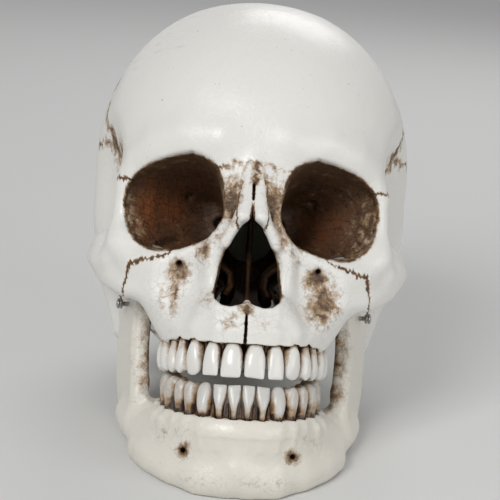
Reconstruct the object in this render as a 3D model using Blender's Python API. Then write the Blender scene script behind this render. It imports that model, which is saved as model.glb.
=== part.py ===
"""Life-size anatomical skull model: bones parted at their sutures, set teeth and a sprung jaw.

The skull is shaped upright, with the ear line level: X runs to its own left, the face looks along
-Y, and zero is between the ear openings. It is then laid back on its chin and the back of its head.
Bone is shaped as a distance field of rounded masses, negative inside, and meshed once for the
skull and once for the jaw. Blades cut the skull apart along its sutures.
"""

import math

import bmesh
import bpy
import numpy as np
import openvdb
from mathutils import Matrix, Vector

# Driving sizes of the whole skull
SPAN = 0.100  # across the outer rims of both eye sockets
DEPTH = 0.100  # from the ear line to the front of the upper gum
DROP = 0.100  # from the ear line down to the chin
VAULT_BREADTH = 0.1374
VAULT_LENGTH = 0.182
VAULT_HEIGHT = 0.1168  # from the ear line to the crown
BAR = 0.010  # a stout bar of bone, which the bars' radii follow
WALL = 0.0048  # of the braincase

# Eye sockets
ORBIT_WIDTH = 0.038
ORBIT_HEIGHT = 0.0365
ORBIT_DEPTH = 0.044
ORBIT_WALL = 0.0034

# Nose
NOSE_WIDTH = 0.0256
NOSE_HEIGHT = 0.034
SEPTUM_THICKNESS = 0.0016

# Openings of the base and the sides
MAGNUM_WIDTH = 0.030
MAGNUM_LENGTH = 0.036
EAR_BORE = 0.0064
FORAMEN = 0.0032

# Jaw
HINGE_LENGTH = 0.018  # of the jaw head, along the hinge
HINGE_RADIUS = 0.0046
HINGE_CLEARANCE = 0.0009
JAW_OPENING = math.radians(22)  # how far the skull leaves the jaw room to open
RAMUS_THICKNESS = 0.0084
BODY_THICKNESS = 0.0118

# Teeth
PEG_LENGTH = 0.0075
TOOTH_DEPTH = 0.0100  # of a molar, from cheek to tongue

# Jaw springs and their screws
WIRE = 0.0008
COIL_RADIUS = 0.0022
COIL_TURNS = 6
SPRING_LENGTH = 0.027  # between the two screws
SPRING_SPREAD = 0.052  # from the middle of the skull to the spring's axis
SCREW_RADIUS = 0.0011
SCREW_BITE = 0.0045  # how deep a screw goes into bone
HEAD_RADIUS = 0.0022
HEAD_HEIGHT = 0.0014

# Fits
SUTURE = 0.0003  # slit between neighbouring bones
FIT = 0.0003  # between a set piece and its seat
OVERRUN = 0.003  # how far a cutter reaches past what it cuts
REST_DEPTH = 0.0006  # how deep the two resting flats are cut

# Meshing
CELL = 0.0021


# Distance fields


def union(a, b, ease):
    """Both masses, joined with a fillet of the width ease."""
    mix = np.clip((b - a) / ease / 2 + 1 / 2, 0, 1)
    return b + (a - b) * mix - ease * mix * (1 - mix)


def cut(a, b, ease):
    return -union(-a, b, ease)


def common(a, b, ease):
    return -union(-a, -b, ease)


def place(shares):
    """A place given in shares of the span, the depth and the drop."""
    return tuple(share * size for share, size in zip(shares, (SPAN, DEPTH, DROP)))


def ellipsoid(grid, centre_shares, radius_shares):
    centre, radii = place(centre_shares), place(radius_shares)
    steps = [(values - c) / r for values, c, r in zip(grid, centre, radii)]
    near = np.sqrt(sum(step**2 for step in steps))
    slope = np.sqrt(sum((step / r) ** 2 for step, r in zip(steps, radii)))
    return near * (near - 1) / np.maximum(slope, 1 / SPAN)


def bar(grid, start, end, start_radius, end_radius):
    """A straight bar with round ends, whose radius changes evenly."""
    along = [b - a for a, b in zip(start, end)]
    offset = [values - a for values, a in zip(grid, start)]
    length = sum(step**2 for step in along)
    share = np.clip(sum(o * a for o, a in zip(offset, along)) / length, 0, 1)
    reach = np.sqrt(sum((o - a * share) ** 2 for o, a in zip(offset, along)))
    return reach - (start_radius + (end_radius - start_radius) * share)


def chain(grid, shares):
    """Bars from row to row of a table: a place, and a radius as a share of a stout bar."""
    found = None
    for start, end in zip(shares[:-1], shares[1:]):
        piece = bar(grid, place(start[:3]), place(end[:3]), start[3] * BAR, end[3] * BAR)
        found = piece if found is None else np.minimum(found, piece)
    return found


def outline(u, v, corners):
    """Distance to a closed outline in the plane of u and v."""
    nearest = np.full(u.shape, np.inf, np.float32)
    inside = np.zeros(u.shape, bool)
    for (ax, ay), (bx, by) in zip(corners, corners[1:] + corners[:1]):
        ex, ey = bx - ax, by - ay
        wx, wy = u - ax, v - ay
        share = np.clip((wx * ex + wy * ey) / (ex * ex + ey * ey), 0, 1)
        nearest = np.minimum(nearest, (wx - ex * share) ** 2 + (wy - ey * share) ** 2)
        if ey:
            crosses = (v < ay) != (v < by)
            inside ^= crosses & (u < ax + wy * ex / ey)
    nearest = np.sqrt(nearest)
    return np.where(inside, -nearest, nearest)


def plate(flat, across, half, rounding):
    """A plate with round edges, from the distance to its outline and the distance across it."""
    a = flat + rounding
    b = np.abs(across) - half + rounding
    outer = np.sqrt(np.maximum(a, 0) ** 2 + np.maximum(b, 0) ** 2)
    return np.minimum(np.maximum(a, b), 0) + outer - rounding


def slope(grid, start_shares, end_shares):
    """Distance above a plane that holds two places seen from the side, forwards to backwards."""
    _, (sy, ey), (sz, ez) = zip(place((0, *start_shares)), place((0, *end_shares)))
    run, rise = ey - sy, ez - sz
    return ((grid[2] - sz) * run - (grid[1] - sy) * rise) / math.hypot(run, rise)


# Skull, in shares of the span, the depth and the drop

VAULT_MIDDLE_SHARE = -0.033  # of the length
EQUATOR_SHARE = 0.375  # level of the widest place, of the height
VAULT_PLAN = 2.2  # powers of the vault's rounding, from above and upright
VAULT_RISE = 2.10

BROW_SHARES = (
    (0.14, -0.895, 0.375, 0.60),
    (0.28, -0.850, 0.390, 0.58),
    (0.39, -0.780, 0.360, 0.55),
    (0.470, -0.710, 0.305, 0.46),
    (0.515, -0.672, 0.215, 0.37),
    (0.520, -0.660, 0.09, 0.38),
    (0.520, -0.672, -0.03, 0.52),
)
LOWER_RIM_SHARES = (
    (0.52, -0.672, -0.03, 0.50),
    (0.45, -0.725, -0.110, 0.46),
    (0.36, -0.780, -0.125, 0.44),
    (0.25, -0.832, -0.105, 0.42),
    (0.165, -0.862, -0.03, 0.38),
    (0.120, -0.885, 0.08, 0.38),
    (0.110, -0.890, 0.20, 0.40),
)
ARCH_SHARES = (
    (0.555, -0.62, -0.080, 0.50),
    (0.605, -0.54, -0.070, 0.44),
    (0.630, -0.44, -0.045, 0.38),
    (0.638, -0.34, -0.010, 0.34),
    (0.632, -0.22, 0.015, 0.32),
    (0.615, -0.10, 0.03, 0.38),
    (0.60, 0.02, 0.045, 0.42),
    (0.60, 0.16, 0.08, 0.36),
)
CHEEK_SHARES = (
    *((0.20, 0.02), (0.40, -0.02), (0.56, 0.06), (0.655, 0.035), (0.66, -0.04), (0.635, -0.12)),
    *((0.60, -0.17), (0.56, -0.205), (0.49, -0.25), (0.42, -0.265), (0.365, -0.29)),
    *((0.32, -0.34), (0.30, -0.42), (0.20, -0.46)),
)
NOSE_SIDE_SHARES = (
    (0.070, -0.885, 0.28, 0.50),
    (0.078, -0.905, 0.14, 0.50),
    (0.112, -0.910, 0.00, 0.44),
    (0.148, -0.895, -0.11, 0.38),
    (0.168, -0.880, -0.23, 0.44),
    (0.140, -0.890, -0.34, 0.50),
)
NOSE_BRIDGE_SHARES = (
    (0.0, -0.915, 0.27, 0.46),
    (0.018, -0.945, 0.17, 0.42),
    (0.030, -0.985, 0.085, 0.36),
    (0.034, -1.010, 0.045, 0.30),
)
NOSE_RIM_SHARES = ((0.045, -0.985, 0.04, 0.28), (0.095, -0.945, -0.05, 0.28))
# Of half the nose's width, and of its height from the sill
APERTURE_SHARES = (
    *((0.0, 1.0), (0.26, 0.95), (0.46, 0.84), (0.64, 0.69), (0.80, 0.51), (0.94, 0.33)),
    *((1.0, 0.20), (0.97, 0.09), (0.77, 0.015), (0.50, 0.0), (0.22, 0.03), (0.0, 0.07)),
)
BASE_SHARES = (
    (0.0, -0.50, -0.04, 1.3),
    (0.0, -0.30, -0.08, 1.2),
    (0.0, -0.10, -0.20, 0.85),
    (0.0, -0.02, -0.235, 0.70),
)
WING_SHARES = ((0.0, -0.42, 0.06, 0.8), (0.16, -0.41, 0.13, 0.6), (0.34, -0.38, 0.10, 0.5))
PETROUS_SHARES = (
    (0.20, -0.40, -0.05, 1.0),
    (0.36, -0.14, -0.04, 1.1),
    (0.48, 0.04, -0.03, 1.2),
)
MASTOID_SHARES = ((0.535, 0.13, -0.03, 1.15), (0.515, 0.11, -0.26, 0.60))
CONDYLE_SHARES = ((0.15, -0.03, -0.29, 0.52), (0.195, 0.09, -0.305, 0.52))
INION_SHARES = ((0.0, 0.75, -0.06, 0.4), (0.0, 0.79, 0.02, 0.4))
NUCHAL_SHARES = (
    (0.0, 0.785, 0.00, 0.26),
    (0.20, 0.745, 0.035, 0.26),
    (0.40, 0.60, 0.02, 0.26),
    (0.51, 0.36, -0.01, 0.3),
)
PTERYGOID_SHARES = (
    (0.15, -0.41, -0.10, 0.34),
    (0.175, -0.395, -0.24, 0.27),
    (0.19, -0.37, -0.36, 0.24),
)
HAMULUS_SHARES = ((0.135, -0.405, -0.10, 0.26), (0.135, -0.40, -0.36, 0.22))
TEMPLE_PASSAGE_SHARES = (
    (0.56, -0.50, 0.16, 0.55),
    (0.555, -0.49, -0.01, 0.55),
    (0.54, -0.40, 0.0, 0.70),
    (0.53, -0.34, -0.14, 0.70),
)
INFRATEMPORAL_SHARES = ((0.46, -0.32, -0.24), (0.13, 0.22, 0.19))
SPINE_SHARES = ((0.0, -0.90, -0.335, 0.32), (0.0, -0.985, -0.310, 0.15))
FORAMEN_SHARES = ((0.275, -0.95, -0.165), (0.275, -0.80, -0.11))

# Arches of the teeth: half their width, their length, the place of their back end, and levels
UPPER_ARCH = {"half": 0.30 * SPAN, "long": 0.48 * DEPTH, "back": -0.49 * DEPTH}
LOWER_ARCH = {"half": 0.29 * SPAN, "long": 0.462 * DEPTH, "back": -0.485 * DEPTH}
ARCH_FULLNESS_SHARE = 2.3


def arch_place(arch, share):
    """A place on an arch at a share of its half length from the front, and its heading there."""
    turn = np.linspace(0, math.pi / 2, 181)
    x = arch["half"] * np.sin(turn) ** (2 / ARCH_FULLNESS_SHARE)
    y = arch["back"] - arch["long"] * np.cos(turn) ** (2 / ARCH_FULLNESS_SHARE)
    run = np.concatenate([[0], np.cumsum(np.hypot(np.diff(x), np.diff(y)))])
    at = share * run[-1]
    step = run[-1] / 40
    here = [float(np.interp(at, run, values)) for values in (x, y)]
    ends = [[float(np.interp(at + s, run, values)) for values in (x, y)] for s in (-step, step)]
    heading = math.atan2(ends[1][1] - ends[0][1], ends[1][0] - ends[0][0])
    return here[0], here[1], heading


def orbit(grid, grow=0.0):
    """The eye socket: a four-sided cone with soft corners, narrowing towards the back."""
    x, y, z = grid
    front = -0.84 * DEPTH
    deep = np.clip((y - front) / ORBIT_DEPTH, 0, 1.1)
    lateral_start = np.clip((y + 0.68 * DEPTH) / (0.28 * DEPTH), 0, 1.2)
    medial = SPAN / 2 - ORBIT_WIDTH - 0.01 * SPAN * deep
    lateral = SPAN / 2 + 0.005 * SPAN - 0.8 * ORBIT_WIDTH * lateral_start
    half_width = np.maximum((lateral - medial) / 2, 0.08 * ORBIT_WIDTH) + grow
    half_height = ORBIT_HEIGHT / 2 * (1 - 0.62 * deep**1.6) + grow
    level = 0.118 * DROP + 0.03 * DROP * deep
    tilt = math.radians(-12)
    u, v = x - (lateral + medial) / 2, z - level
    across = u * math.cos(tilt) + v * math.sin(tilt)
    up = v * math.cos(tilt) - u * math.sin(tilt)
    power = 2.7
    near = (np.abs(across / half_width) ** power + np.abs(up / half_height) ** power) ** (1 / power)
    side = (near - 1) * np.minimum(half_width, half_height)
    return common(side, y - (front + ORBIT_DEPTH) - grow, 0.4 * BAR)


def vault(grid, inset=0.0):
    """The braincase's egg, by the distance along the ray from its middle."""
    level = EQUATOR_SHARE * VAULT_HEIGHT
    middle = (0, VAULT_MIDDLE_SHARE * VAULT_LENGTH, level)
    halves = (VAULT_BREADTH / 2, VAULT_LENGTH / 2, VAULT_HEIGHT - level)
    steps = [np.abs(values - m) for values, m in zip(grid, middle)]
    shares = [step / (half - inset) for step, half in zip(steps, halves)]
    plan = shares[0] ** VAULT_PLAN + shares[1] ** VAULT_PLAN
    size = (plan ** (VAULT_RISE / VAULT_PLAN) + shares[2] ** VAULT_RISE) ** (1 / VAULT_RISE)
    reach = np.sqrt(sum(step**2 for step in steps))
    return reach * (1 - 1 / np.maximum(size, 0.05))


def braincase(grid, inset=0.0):
    """The braincase with its hollow temples; inset gives the inner side of its wall."""
    thin = 1 - inset / (0.4 * SPAN)
    egg = common(vault(grid, inset), inset - slope(grid, (-0.97, 0.17), (-0.45, -0.05)), BAR)
    back = ellipsoid(grid, (0, 0.35, 0.05), (0.54 * thin, 0.45 * thin, 0.44 * thin))
    sides = ellipsoid(grid, (0.36, -0.02, 0.16), (0.31 * thin, 0.42 * thin, 0.29 * thin))
    temple = ellipsoid(grid, (0.86, -0.54, 0.20), (0.34, 0.38, 0.46))
    temple = union(temple, chain(grid, TEMPLE_PASSAGE_SHARES), 0.6 * BAR) - inset
    return cut(union(union(egg, back, 1.6 * BAR), sides, BAR), temple, 0.6 * BAR)


def cheek(grid):
    """The cheek's plate: its front outline, bent backwards around the face."""
    x, y, z = grid
    bend = np.clip((x - 0.25 * SPAN) / (0.41 * SPAN), 0, 1.2) ** 2.4
    front = -0.82 * DEPTH + 0.36 * DEPTH * bend
    steep = np.clip((x - 0.25 * SPAN) / (0.41 * SPAN), 0, 1)
    across = (y - front - 0.05 * DEPTH) / np.sqrt(1 + 2.2 * steep**1.2)
    corners = [(u * SPAN, v * DROP) for u, v in CHEEK_SHARES]
    return plate(outline(x, z, corners), across, 0.42 * BAR, 0.36 * BAR)


def gum_wall(grid, arch, level, radius, spread):
    """The ridge that holds a row of teeth."""
    found = None
    shares = (0, 0.15, 0.3, 0.45, 0.6, 0.8, 1.0)
    places = [arch_place(arch, share)[:2] for share in shares]
    for (ax, ay), (bx, by) in zip(places[:-1], places[1:]):
        piece = bar(grid, (ax, ay, level(ay)), (bx, by, level(by)), radius, radius * spread)
        found = piece if found is None else union(found, piece, 0.1 * BAR)
    return found


def gum_slant(front_share, rise_share):
    """A level that climbs from the front of the mouth to its back."""
    return lambda y: front_share * DROP + rise_share * (y + DEPTH)


UPPER_GUM = gum_slant(-0.456, 0.19)
LOWER_GUM = gum_slant(-0.748, 0.23)
UPPER_BITE = gum_slant(-0.589, 0.165)
LOWER_BITE = gum_slant(-0.618, 0.212)


def aperture(grid):
    x, _, z = grid
    half = [(u * NOSE_WIDTH / 2, v * NOSE_HEIGHT - 0.308 * DROP) for u, v in APERTURE_SHARES]
    return outline(x, z, half + [(-u, v) for u, v in half[-2:0:-1]])


def nasal_hollow(grid):
    """The nose's opening and the cavity behind it, with its way out to the throat."""
    _, y, _ = grid
    mouth = np.maximum(aperture(grid), y + 0.62 * DEPTH)
    cavity = ellipsoid(grid, (0, -0.66, -0.11), (0.155, 0.27, 0.20))
    roof = chain(grid, ((0.0, -0.86, 0.02, 0.5), (0.0, -0.80, 0.16, 0.45)))
    cavity = union(cavity, roof, 0.3 * BAR)
    throat = chain(grid, ((0.05, -0.60, -0.19, 0.72), (0.05, -0.20, -0.25, 0.72)))
    return union(union(mouth, cavity, 0.2 * BAR), throat, 0.3 * BAR)


def face_masses(grid, skull):
    x, y, z = grid
    rim = -0.87 * DEPTH + (x - 0.12 * SPAN) * 0.53
    wall = common(orbit(grid, ORBIT_WALL), rim - y, 0.3 * BAR)
    skull = union(skull, wall, 0.5 * BAR)
    skull = union(skull, chain(grid, BROW_SHARES), 0.8 * BAR)
    skull = union(skull, chain(grid, LOWER_RIM_SHARES), 0.5 * BAR)
    skull = union(skull, cheek(grid), 0.5 * BAR)
    skull = union(skull, chain(grid, ARCH_SHARES), 0.4 * BAR)
    skull = union(skull, ellipsoid(grid, (0, -0.70, -0.30), (0.33, 0.27, 0.18)), 0.8 * BAR)
    skull = union(skull, ellipsoid(grid, (0.20, -0.71, -0.21), (0.21, 0.165, 0.23)), 0.7 * BAR)
    skull = union(skull, chain(grid, NOSE_SIDE_SHARES), 0.5 * BAR)
    skull = union(skull, chain(grid, NOSE_BRIDGE_SHARES), 0.4 * BAR)
    skull = union(skull, chain(grid, NOSE_RIM_SHARES), 0.3 * BAR)
    ridge = gum_wall(grid, UPPER_ARCH, lambda y: UPPER_GUM(y) + 0.56 * BAR, 0.56 * BAR, 1.0)
    above = gum_wall(grid, UPPER_ARCH, lambda y: UPPER_GUM(y) + 1.3 * BAR, 0.56 * BAR, 1.0)
    return union(skull, union(ridge, above, 0.3 * BAR), 0.5 * BAR)


def base_masses(grid, skull):
    for shares, ease in (
        (BASE_SHARES, 0.8),
        (WING_SHARES, 0.5),
        (PETROUS_SHARES, 0.8),
        (MASTOID_SHARES, 0.6),
        (CONDYLE_SHARES, 0.4),
        (INION_SHARES, 0.9),
        (NUCHAL_SHARES, 1.0),
        (PTERYGOID_SHARES, 0.4),
        (HAMULUS_SHARES, 0.4),
    ):
        skull = union(skull, chain(grid, shares), ease * BAR)
    return skull


def skull_hollows(grid, skull):
    x, y, z = grid
    skull = cut(skull, ellipsoid(grid, (0.285, -0.945, -0.22), (0.11, 0.10, 0.12)), 0.7 * BAR)
    skull = cut(skull, ellipsoid(grid, (0, -0.66, -0.50), (0.19, 0.30, 0.13)), 0.4 * BAR)
    beneath = ellipsoid(grid, *INFRATEMPORAL_SHARES)
    socket = jaw_sweep(grid) - HINGE_CLEARANCE
    skull = cut(skull, beneath, 0.4 * BAR)
    inner = np.maximum(braincase(grid, WALL), -orbit(grid, ORBIT_WALL))
    inner = common(inner, WALL - np.minimum(beneath, socket), 0.4 * BAR)
    skull = cut(skull, inner, 0.3 * BAR)
    skull = cut(skull, orbit(grid), 0.18 * BAR)
    skull = cut(skull, nasal_hollow(grid), 0.15 * BAR)
    half = (MAGNUM_WIDTH / 2, MAGNUM_LENGTH / 2)
    magnum = (np.hypot(x / half[0], (y - 0.14 * DEPTH) / half[1]) - 1) * half[0]
    skull = cut(skull, np.maximum(magnum, z - 0.10 * DROP), 0.2 * BAR)
    inner, outer = 0.50 * SPAN, 0.80 * SPAN
    ear = bar(grid, (inner, 0, 0), (outer, 0.01 * DEPTH, 0), EAR_BORE / 2, EAR_BORE / 2)
    skull = cut(skull, ear, 0.15 * BAR)
    ends = [place(shares) for shares in FORAMEN_SHARES]
    skull = cut(skull, bar(grid, *ends, FORAMEN / 2, FORAMEN / 2), 0.1 * BAR)
    return cut(skull, socket, 0.2 * BAR)


HINGE_SHARES = (0.50, -0.13, -0.06)


def hinge_bar(grid, radius):
    """The round head of the jaw's hinge, lying along its axis."""
    x, y, z = place(HINGE_SHARES)
    reach = HINGE_LENGTH / 2 - HINGE_RADIUS
    return bar(grid, (x - reach, y, z), (x + reach, y, z), radius, radius)


def jaw_sweep(grid):
    """Everything that the jaw's side passes through while it opens."""
    _, hinge_y, hinge_z = place(HINGE_SHARES)
    back, up = grid[1] - hinge_y, grid[2] - hinge_z
    found = None
    for share in (0, 1 / 3, 2 / 3, 1):
        c, s = math.cos(JAW_OPENING * share), math.sin(JAW_OPENING * share)
        opened = jaw_side([grid[0], back * c + up * s + hinge_y, up * c - back * s + hinge_z])
        found = opened if found is None else np.minimum(found, opened)
    return found


def skull_field(grid):
    skull = base_masses(grid, face_masses(grid, braincase(grid)))
    skull = skull_hollows(grid, skull)
    return union(skull, chain(grid, SPINE_SHARES), 0.2 * BAR)


# Jaw, in the same shares

RAMUS_SHARES = (
    *((-0.12, -0.08), (-0.085, -0.20), (-0.09, -0.36), (-0.12, -0.52), (-0.17, -0.625)),
    *((-0.26, -0.70), (-0.38, -0.75), (-0.46, -0.74), (-0.49, -0.62), (-0.465, -0.48)),
    *((-0.445, -0.36), (-0.45, -0.24), (-0.415, -0.10), (-0.375, -0.085), (-0.33, -0.16)),
    *((-0.27, -0.195), (-0.21, -0.17), (-0.17, -0.10)),
)
LOWER_EDGE_SHARES = (
    (0.0, -0.845, -0.955),
    (0.13, -0.825, -0.945),
    (0.25, -0.750, -0.905),
    (0.335, -0.64, -0.85),
    (0.385, -0.51, -0.79),
    (0.43, -0.38, -0.725),
    (0.465, -0.26, -0.65),
)


def jaw_body(grid):
    """The jaw's bow, from its lower edge up to the ridge under the teeth."""
    found = None
    rows = []
    for index, low in enumerate(LOWER_EDGE_SHARES):
        share = index / (len(LOWER_EDGE_SHARES) - 1)
        x, y, _ = arch_place(LOWER_ARCH, 1.08 * share if share < 0.9 else 1.0)
        rows.append((place(low), (x, y, LOWER_GUM(y) - 0.52 * BAR)))
    low_radius, top_radius = BODY_THICKNESS / 2, 0.44 * BODY_THICKNESS
    for (low, top), (next_low, next_top) in zip(rows[:-1], rows[1:]):
        for share in (0, 1 / 3, 2 / 3):
            start = [a + (b - a) * share for a, b in zip(low, next_low)]
            end = [a + (b - a) * share for a, b in zip(top, next_top)]
            rib = bar(grid, start, end, low_radius, top_radius)
            found = rib if found is None else union(found, rib, 0.25 * BAR)
    return found


def jaw_side(grid):
    """The jaw's upright side, with its neck and the head that turns in the skull."""
    x, y, z = grid
    corners = line(DEPTH, DROP, RAMUS_SHARES)
    middle = 0.478 * SPAN + 0.24 * (y + 0.20 * DEPTH) - 0.02 * np.abs(z + 0.40 * DROP)
    half = RAMUS_THICKNESS / 2
    ramus = plate(outline(y, z, corners), x - middle, half, 0.8 * half)
    neck = chain(grid, ((0.50, -0.14, -0.10, 0.36), (0.485, -0.14, -0.22, 0.40)))
    return union(union(ramus, neck, 0.4 * BAR), hinge_bar(grid, HINGE_RADIUS), 0.2 * BAR)


def jaw_field(grid):
    jaw = union(jaw_body(grid), jaw_side(grid), 0.5 * BAR)
    chin = chain(grid, ((0.0, -0.905, -0.93, 0.50), (0.0, -0.88, -0.83, 0.30)))
    corner = chain(grid, ((0.06, -0.875, -0.97, 0.46), (0.14, -0.845, -0.965, 0.42)))
    jaw = union(union(jaw, chin, 0.6 * BAR), corner, 0.5 * BAR)
    foramen = chain(grid, ((0.215, -0.92, -0.86, 0.16), (0.20, -0.74, -0.86, 0.12)))
    return cut(jaw, foramen, 0.08 * BAR)


# Slits along the sutures, as lines in one view, drawn out along the third axis

PTERION = (-0.46 * DEPTH, 0.38 * DROP)
ASTERION = (0.57 * SPAN, 0.455 * DEPTH, 0.095 * DROP)
LAMBDA_SHARE = 0.58  # level of the back end of the crown's suture, of the vault's height
BREGMA_SHARE = -0.12  # place of its front end, of the vault's length


def line(first, second, shares):
    return [(u * first, v * second) for u, v in shares]


def prism(name, corners, axis, low, high):
    """A closed outline seen along an axis, drawn out from low to high."""
    shape = bmesh.new()
    rings = []
    for level in (low, high):
        ring = []
        for u, v in corners:
            spot = [u, v]
            spot.insert(axis, level)
            ring.append(shape.verts.new(spot))
        rings.append(ring)
    count = len(corners)
    for index in range(count):
        after = (index + 1) % count
        shape.faces.new((rings[0][index], rings[0][after], rings[1][after], rings[1][index]))
    shape.faces.new(rings[0][::-1])
    shape.faces.new(rings[1])
    bmesh.ops.recalc_face_normals(shape, faces=shape.faces)
    mesh = bpy.data.meshes.new(name)
    shape.to_mesh(mesh)
    shape.free()
    return add_object(name, mesh)


def ribbon(name, corners, axis, low, high, thickness=SUTURE):
    """A blade along an open line, of even thickness."""
    offsets = []
    for index, corner in enumerate(corners):
        near = [corners[max(index - 1, 0)], corner, corners[min(index + 1, len(corners) - 1)]]
        ways = [Vector(b) - Vector(a) for a, b in zip(near[:-1], near[1:])]
        ways = [way.normalized() for way in ways if way.length]
        normals = [Vector((-way.y, way.x)) for way in ways]
        mean = (normals[0] + normals[-1]).normalized()
        offsets.append(mean * (thickness / 2 / mean.dot(normals[0])))
    sides = [[Vector(c) + sign * o for c, o in zip(corners, offsets)] for sign in (1, -1)]
    return prism(name, [tuple(c) for c in sides[0] + sides[1][::-1]], axis, low, high)


def mirrored(corners):
    """A line that starts at X = 0, with its mirror image before it."""
    return [(-u, v) for u, v in corners[:0:-1]] + corners


# Each line by its view: sideways in shares of the depth and the drop, from the front in shares of
# the span and the drop, from above in shares of the span and the depth
CORONAL_SHARES = ((-0.10, 1.2), (BREGMA_SHARE, 0.94), (-0.165, 0.70), (-0.215, 0.50))  # of the vault
SQUAMOSAL_SHARES = ((-0.36, 0.46), (-0.18, 0.52), (0.04, 0.50), (0.22, 0.38), (0.34, 0.20))
LAMBDOID_SHARES = ((0.20, 0.54), (0.40, 0.30))
WING_BACK_SHARES = ((-0.375, 0.28), (-0.355, 0.08), (-0.34, -0.06), (-0.29, -0.14), (-0.28, -0.5))
WING_TOP_SHARES = ((-0.58, 0.34), (-0.605, 0.29))
WING_FRONT_SHARES = (
    *((-0.60, 0.31), (-0.605, 0.20), (-0.60, 0.0), (-0.50, -0.07)),
    *((-0.44, -0.14), (-0.425, -0.5)),
)
WING_SIDE_SHARES = ((-0.585, 0.34), (-0.603, 0.25), (-0.603, 0.07))
BROW_LINE_SHARES = ((0, 0.277), (0.06, 0.262), (0.18, 0.25), (0.44, 0.22), (0.62, 0.245))
MIDFACE_SHARES = (
    *((-1.15, 0.278), (-0.597, 0.278), (-0.597, 0.0), (-0.49, -0.075)),
    *((-0.435, -0.14), (-0.42, -0.5), (-1.15, -0.5)),
)
CHEEK_LINE_SHARES = ((0.25, 0.06), (0.285, -0.04), (0.32, -0.09), (0.48, -0.125), (0.505, -0.32))
NOSE_LINE_SHARES = ((0.042, 0.30), (0.052, 0.16), (0.064, 0.06), (0.062, 0.015), (0.03, -0.035))
NOSE_BACK_SHARES = ((-0.91, 0.30), (-0.935, 0.14), (-0.965, -0.02))
BASE_LINE_SHARES = (
    *((0.47, 0.362), (0.37, 0.29), (0.27, 0.15), (0.215, -0.02)),
    *((0.16, -0.20), (0.12, -0.36)),
)
MASTOID_LINE_SHARES = ((0.68, 0.48), (0.56, 0.435))
INNER_LINE_SHARES = ((0.58, 0.442), (0.50, 0.41), (0.40, 0.305))
ARCH_LINE_SHARES = ((-0.455, 0.10), (-0.40, -0.15))


def suture_blades():
    """Thin blades that part the skull: some right across it, and others once for each side."""
    wide = VAULT_BREADTH / 2 + OVERRUN
    rear = VAULT_LENGTH * (1 / 2 + VAULT_MIDDLE_SHARE) + OVERRUN
    crown = VAULT_HEIGHT + OVERRUN
    front, deep = -1.15 * DEPTH, -0.6 * DROP
    temple, wing = 0.60 * SPAN, 0.555 * SPAN
    start = (0, LAMBDA_SHARE * VAULT_HEIGHT)
    x, y, z = ASTERION
    coronal = [*line(VAULT_LENGTH, VAULT_HEIGHT, CORONAL_SHARES), PTERION]
    lambdoid = [start, *line(SPAN, DROP, LAMBDOID_SHARES), (x, z), (x + OVERRUN, z - OVERRUN)]
    squamosal = [PTERION, *line(DEPTH, DROP, SQUAMOSAL_SHARES), (y, z), (y + OVERRUN, z - OVERRUN)]
    wing_back = [PTERION, *line(DEPTH, DROP, WING_BACK_SHARES)]
    wing_top = [PTERION, *line(DEPTH, DROP, WING_TOP_SHARES)]
    brow = mirrored(line(SPAN, DROP, BROW_LINE_SHARES))
    blades = [
        ribbon("coronal", coronal, 0, -wide, wide),
        ribbon("lambdoid", mirrored(lambdoid), 1, 0.25 * DEPTH, rear),
        ribbon("wing back", wing_back, 0, -temple, temple),
        ribbon("wing top", wing_top, 0, -temple, temple),
        ribbon("wing front", line(DEPTH, DROP, WING_FRONT_SHARES), 0, -wing, wing),
        ribbon("brow", brow, 1, front, -0.595 * DEPTH),
        ribbon("nose back", line(DEPTH, DROP, NOSE_BACK_SHARES), 0, -0.09 * SPAN, 0.09 * SPAN),
        prism("midface", line(DEPTH, DROP, MIDFACE_SHARES), 0, -SUTURE / 2, SUTURE / 2),
        ribbon("sagittal", [start, (0, crown)], 1, BREGMA_SHARE * VAULT_LENGTH, rear),
    ]
    for sign in (1, -1):
        for name, corners, axis, low, high in (
            ("squamosal", squamosal, 0, 0.36 * SPAN, wide),
            ("base", line(SPAN, DEPTH, BASE_LINE_SHARES), 2, deep, 0.30 * DROP),
            ("mastoid", line(SPAN, DEPTH, MASTOID_LINE_SHARES), 2, deep, z + OVERRUN),
            ("inner", line(SPAN, DEPTH, INNER_LINE_SHARES), 2, deep, z + 2 * OVERRUN),
            ("wing side", line(DEPTH, DROP, WING_SIDE_SHARES), 0, wing - OVERRUN, wide),
            ("nose side", line(SPAN, DROP, NOSE_LINE_SHARES), 1, front, -0.905 * DEPTH),
            ("cheek", line(SPAN, DROP, CHEEK_LINE_SHARES), 1, -0.95 * DEPTH, -0.45 * DEPTH),
            ("arch", line(DEPTH, DROP, ARCH_LINE_SHARES), 0, 0.575 * SPAN, 0.72 * SPAN),
        ):
            blade = ribbon(name, corners, axis, low, high)
            if sign < 0:
                blade.data.transform(Matrix.Scale(-1, 4, (1, 0, 0)))
                blade.data.flip_normals()
            blades.append(blade)
    return blades


BONE_SEED_SHARES = {
    "frontal_bone": (0, -0.95, 0.60),
    "occipital_bone": (0, 0.80, 0.30),
    "sphenoid_bone": (0, -0.45, -0.12),
    "parietal_bone": (0.60, 0.10, 0.80),
    "temporal_bone": (0.66, 0.05, 0.25),
    "zygomatic_bone": (0.56, -0.64, -0.08),
    "maxilla": (0.15, -0.95, -0.38),
    "nasal_bone": (0.02, -1.0, 0.12),
}


# Meshing


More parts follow.
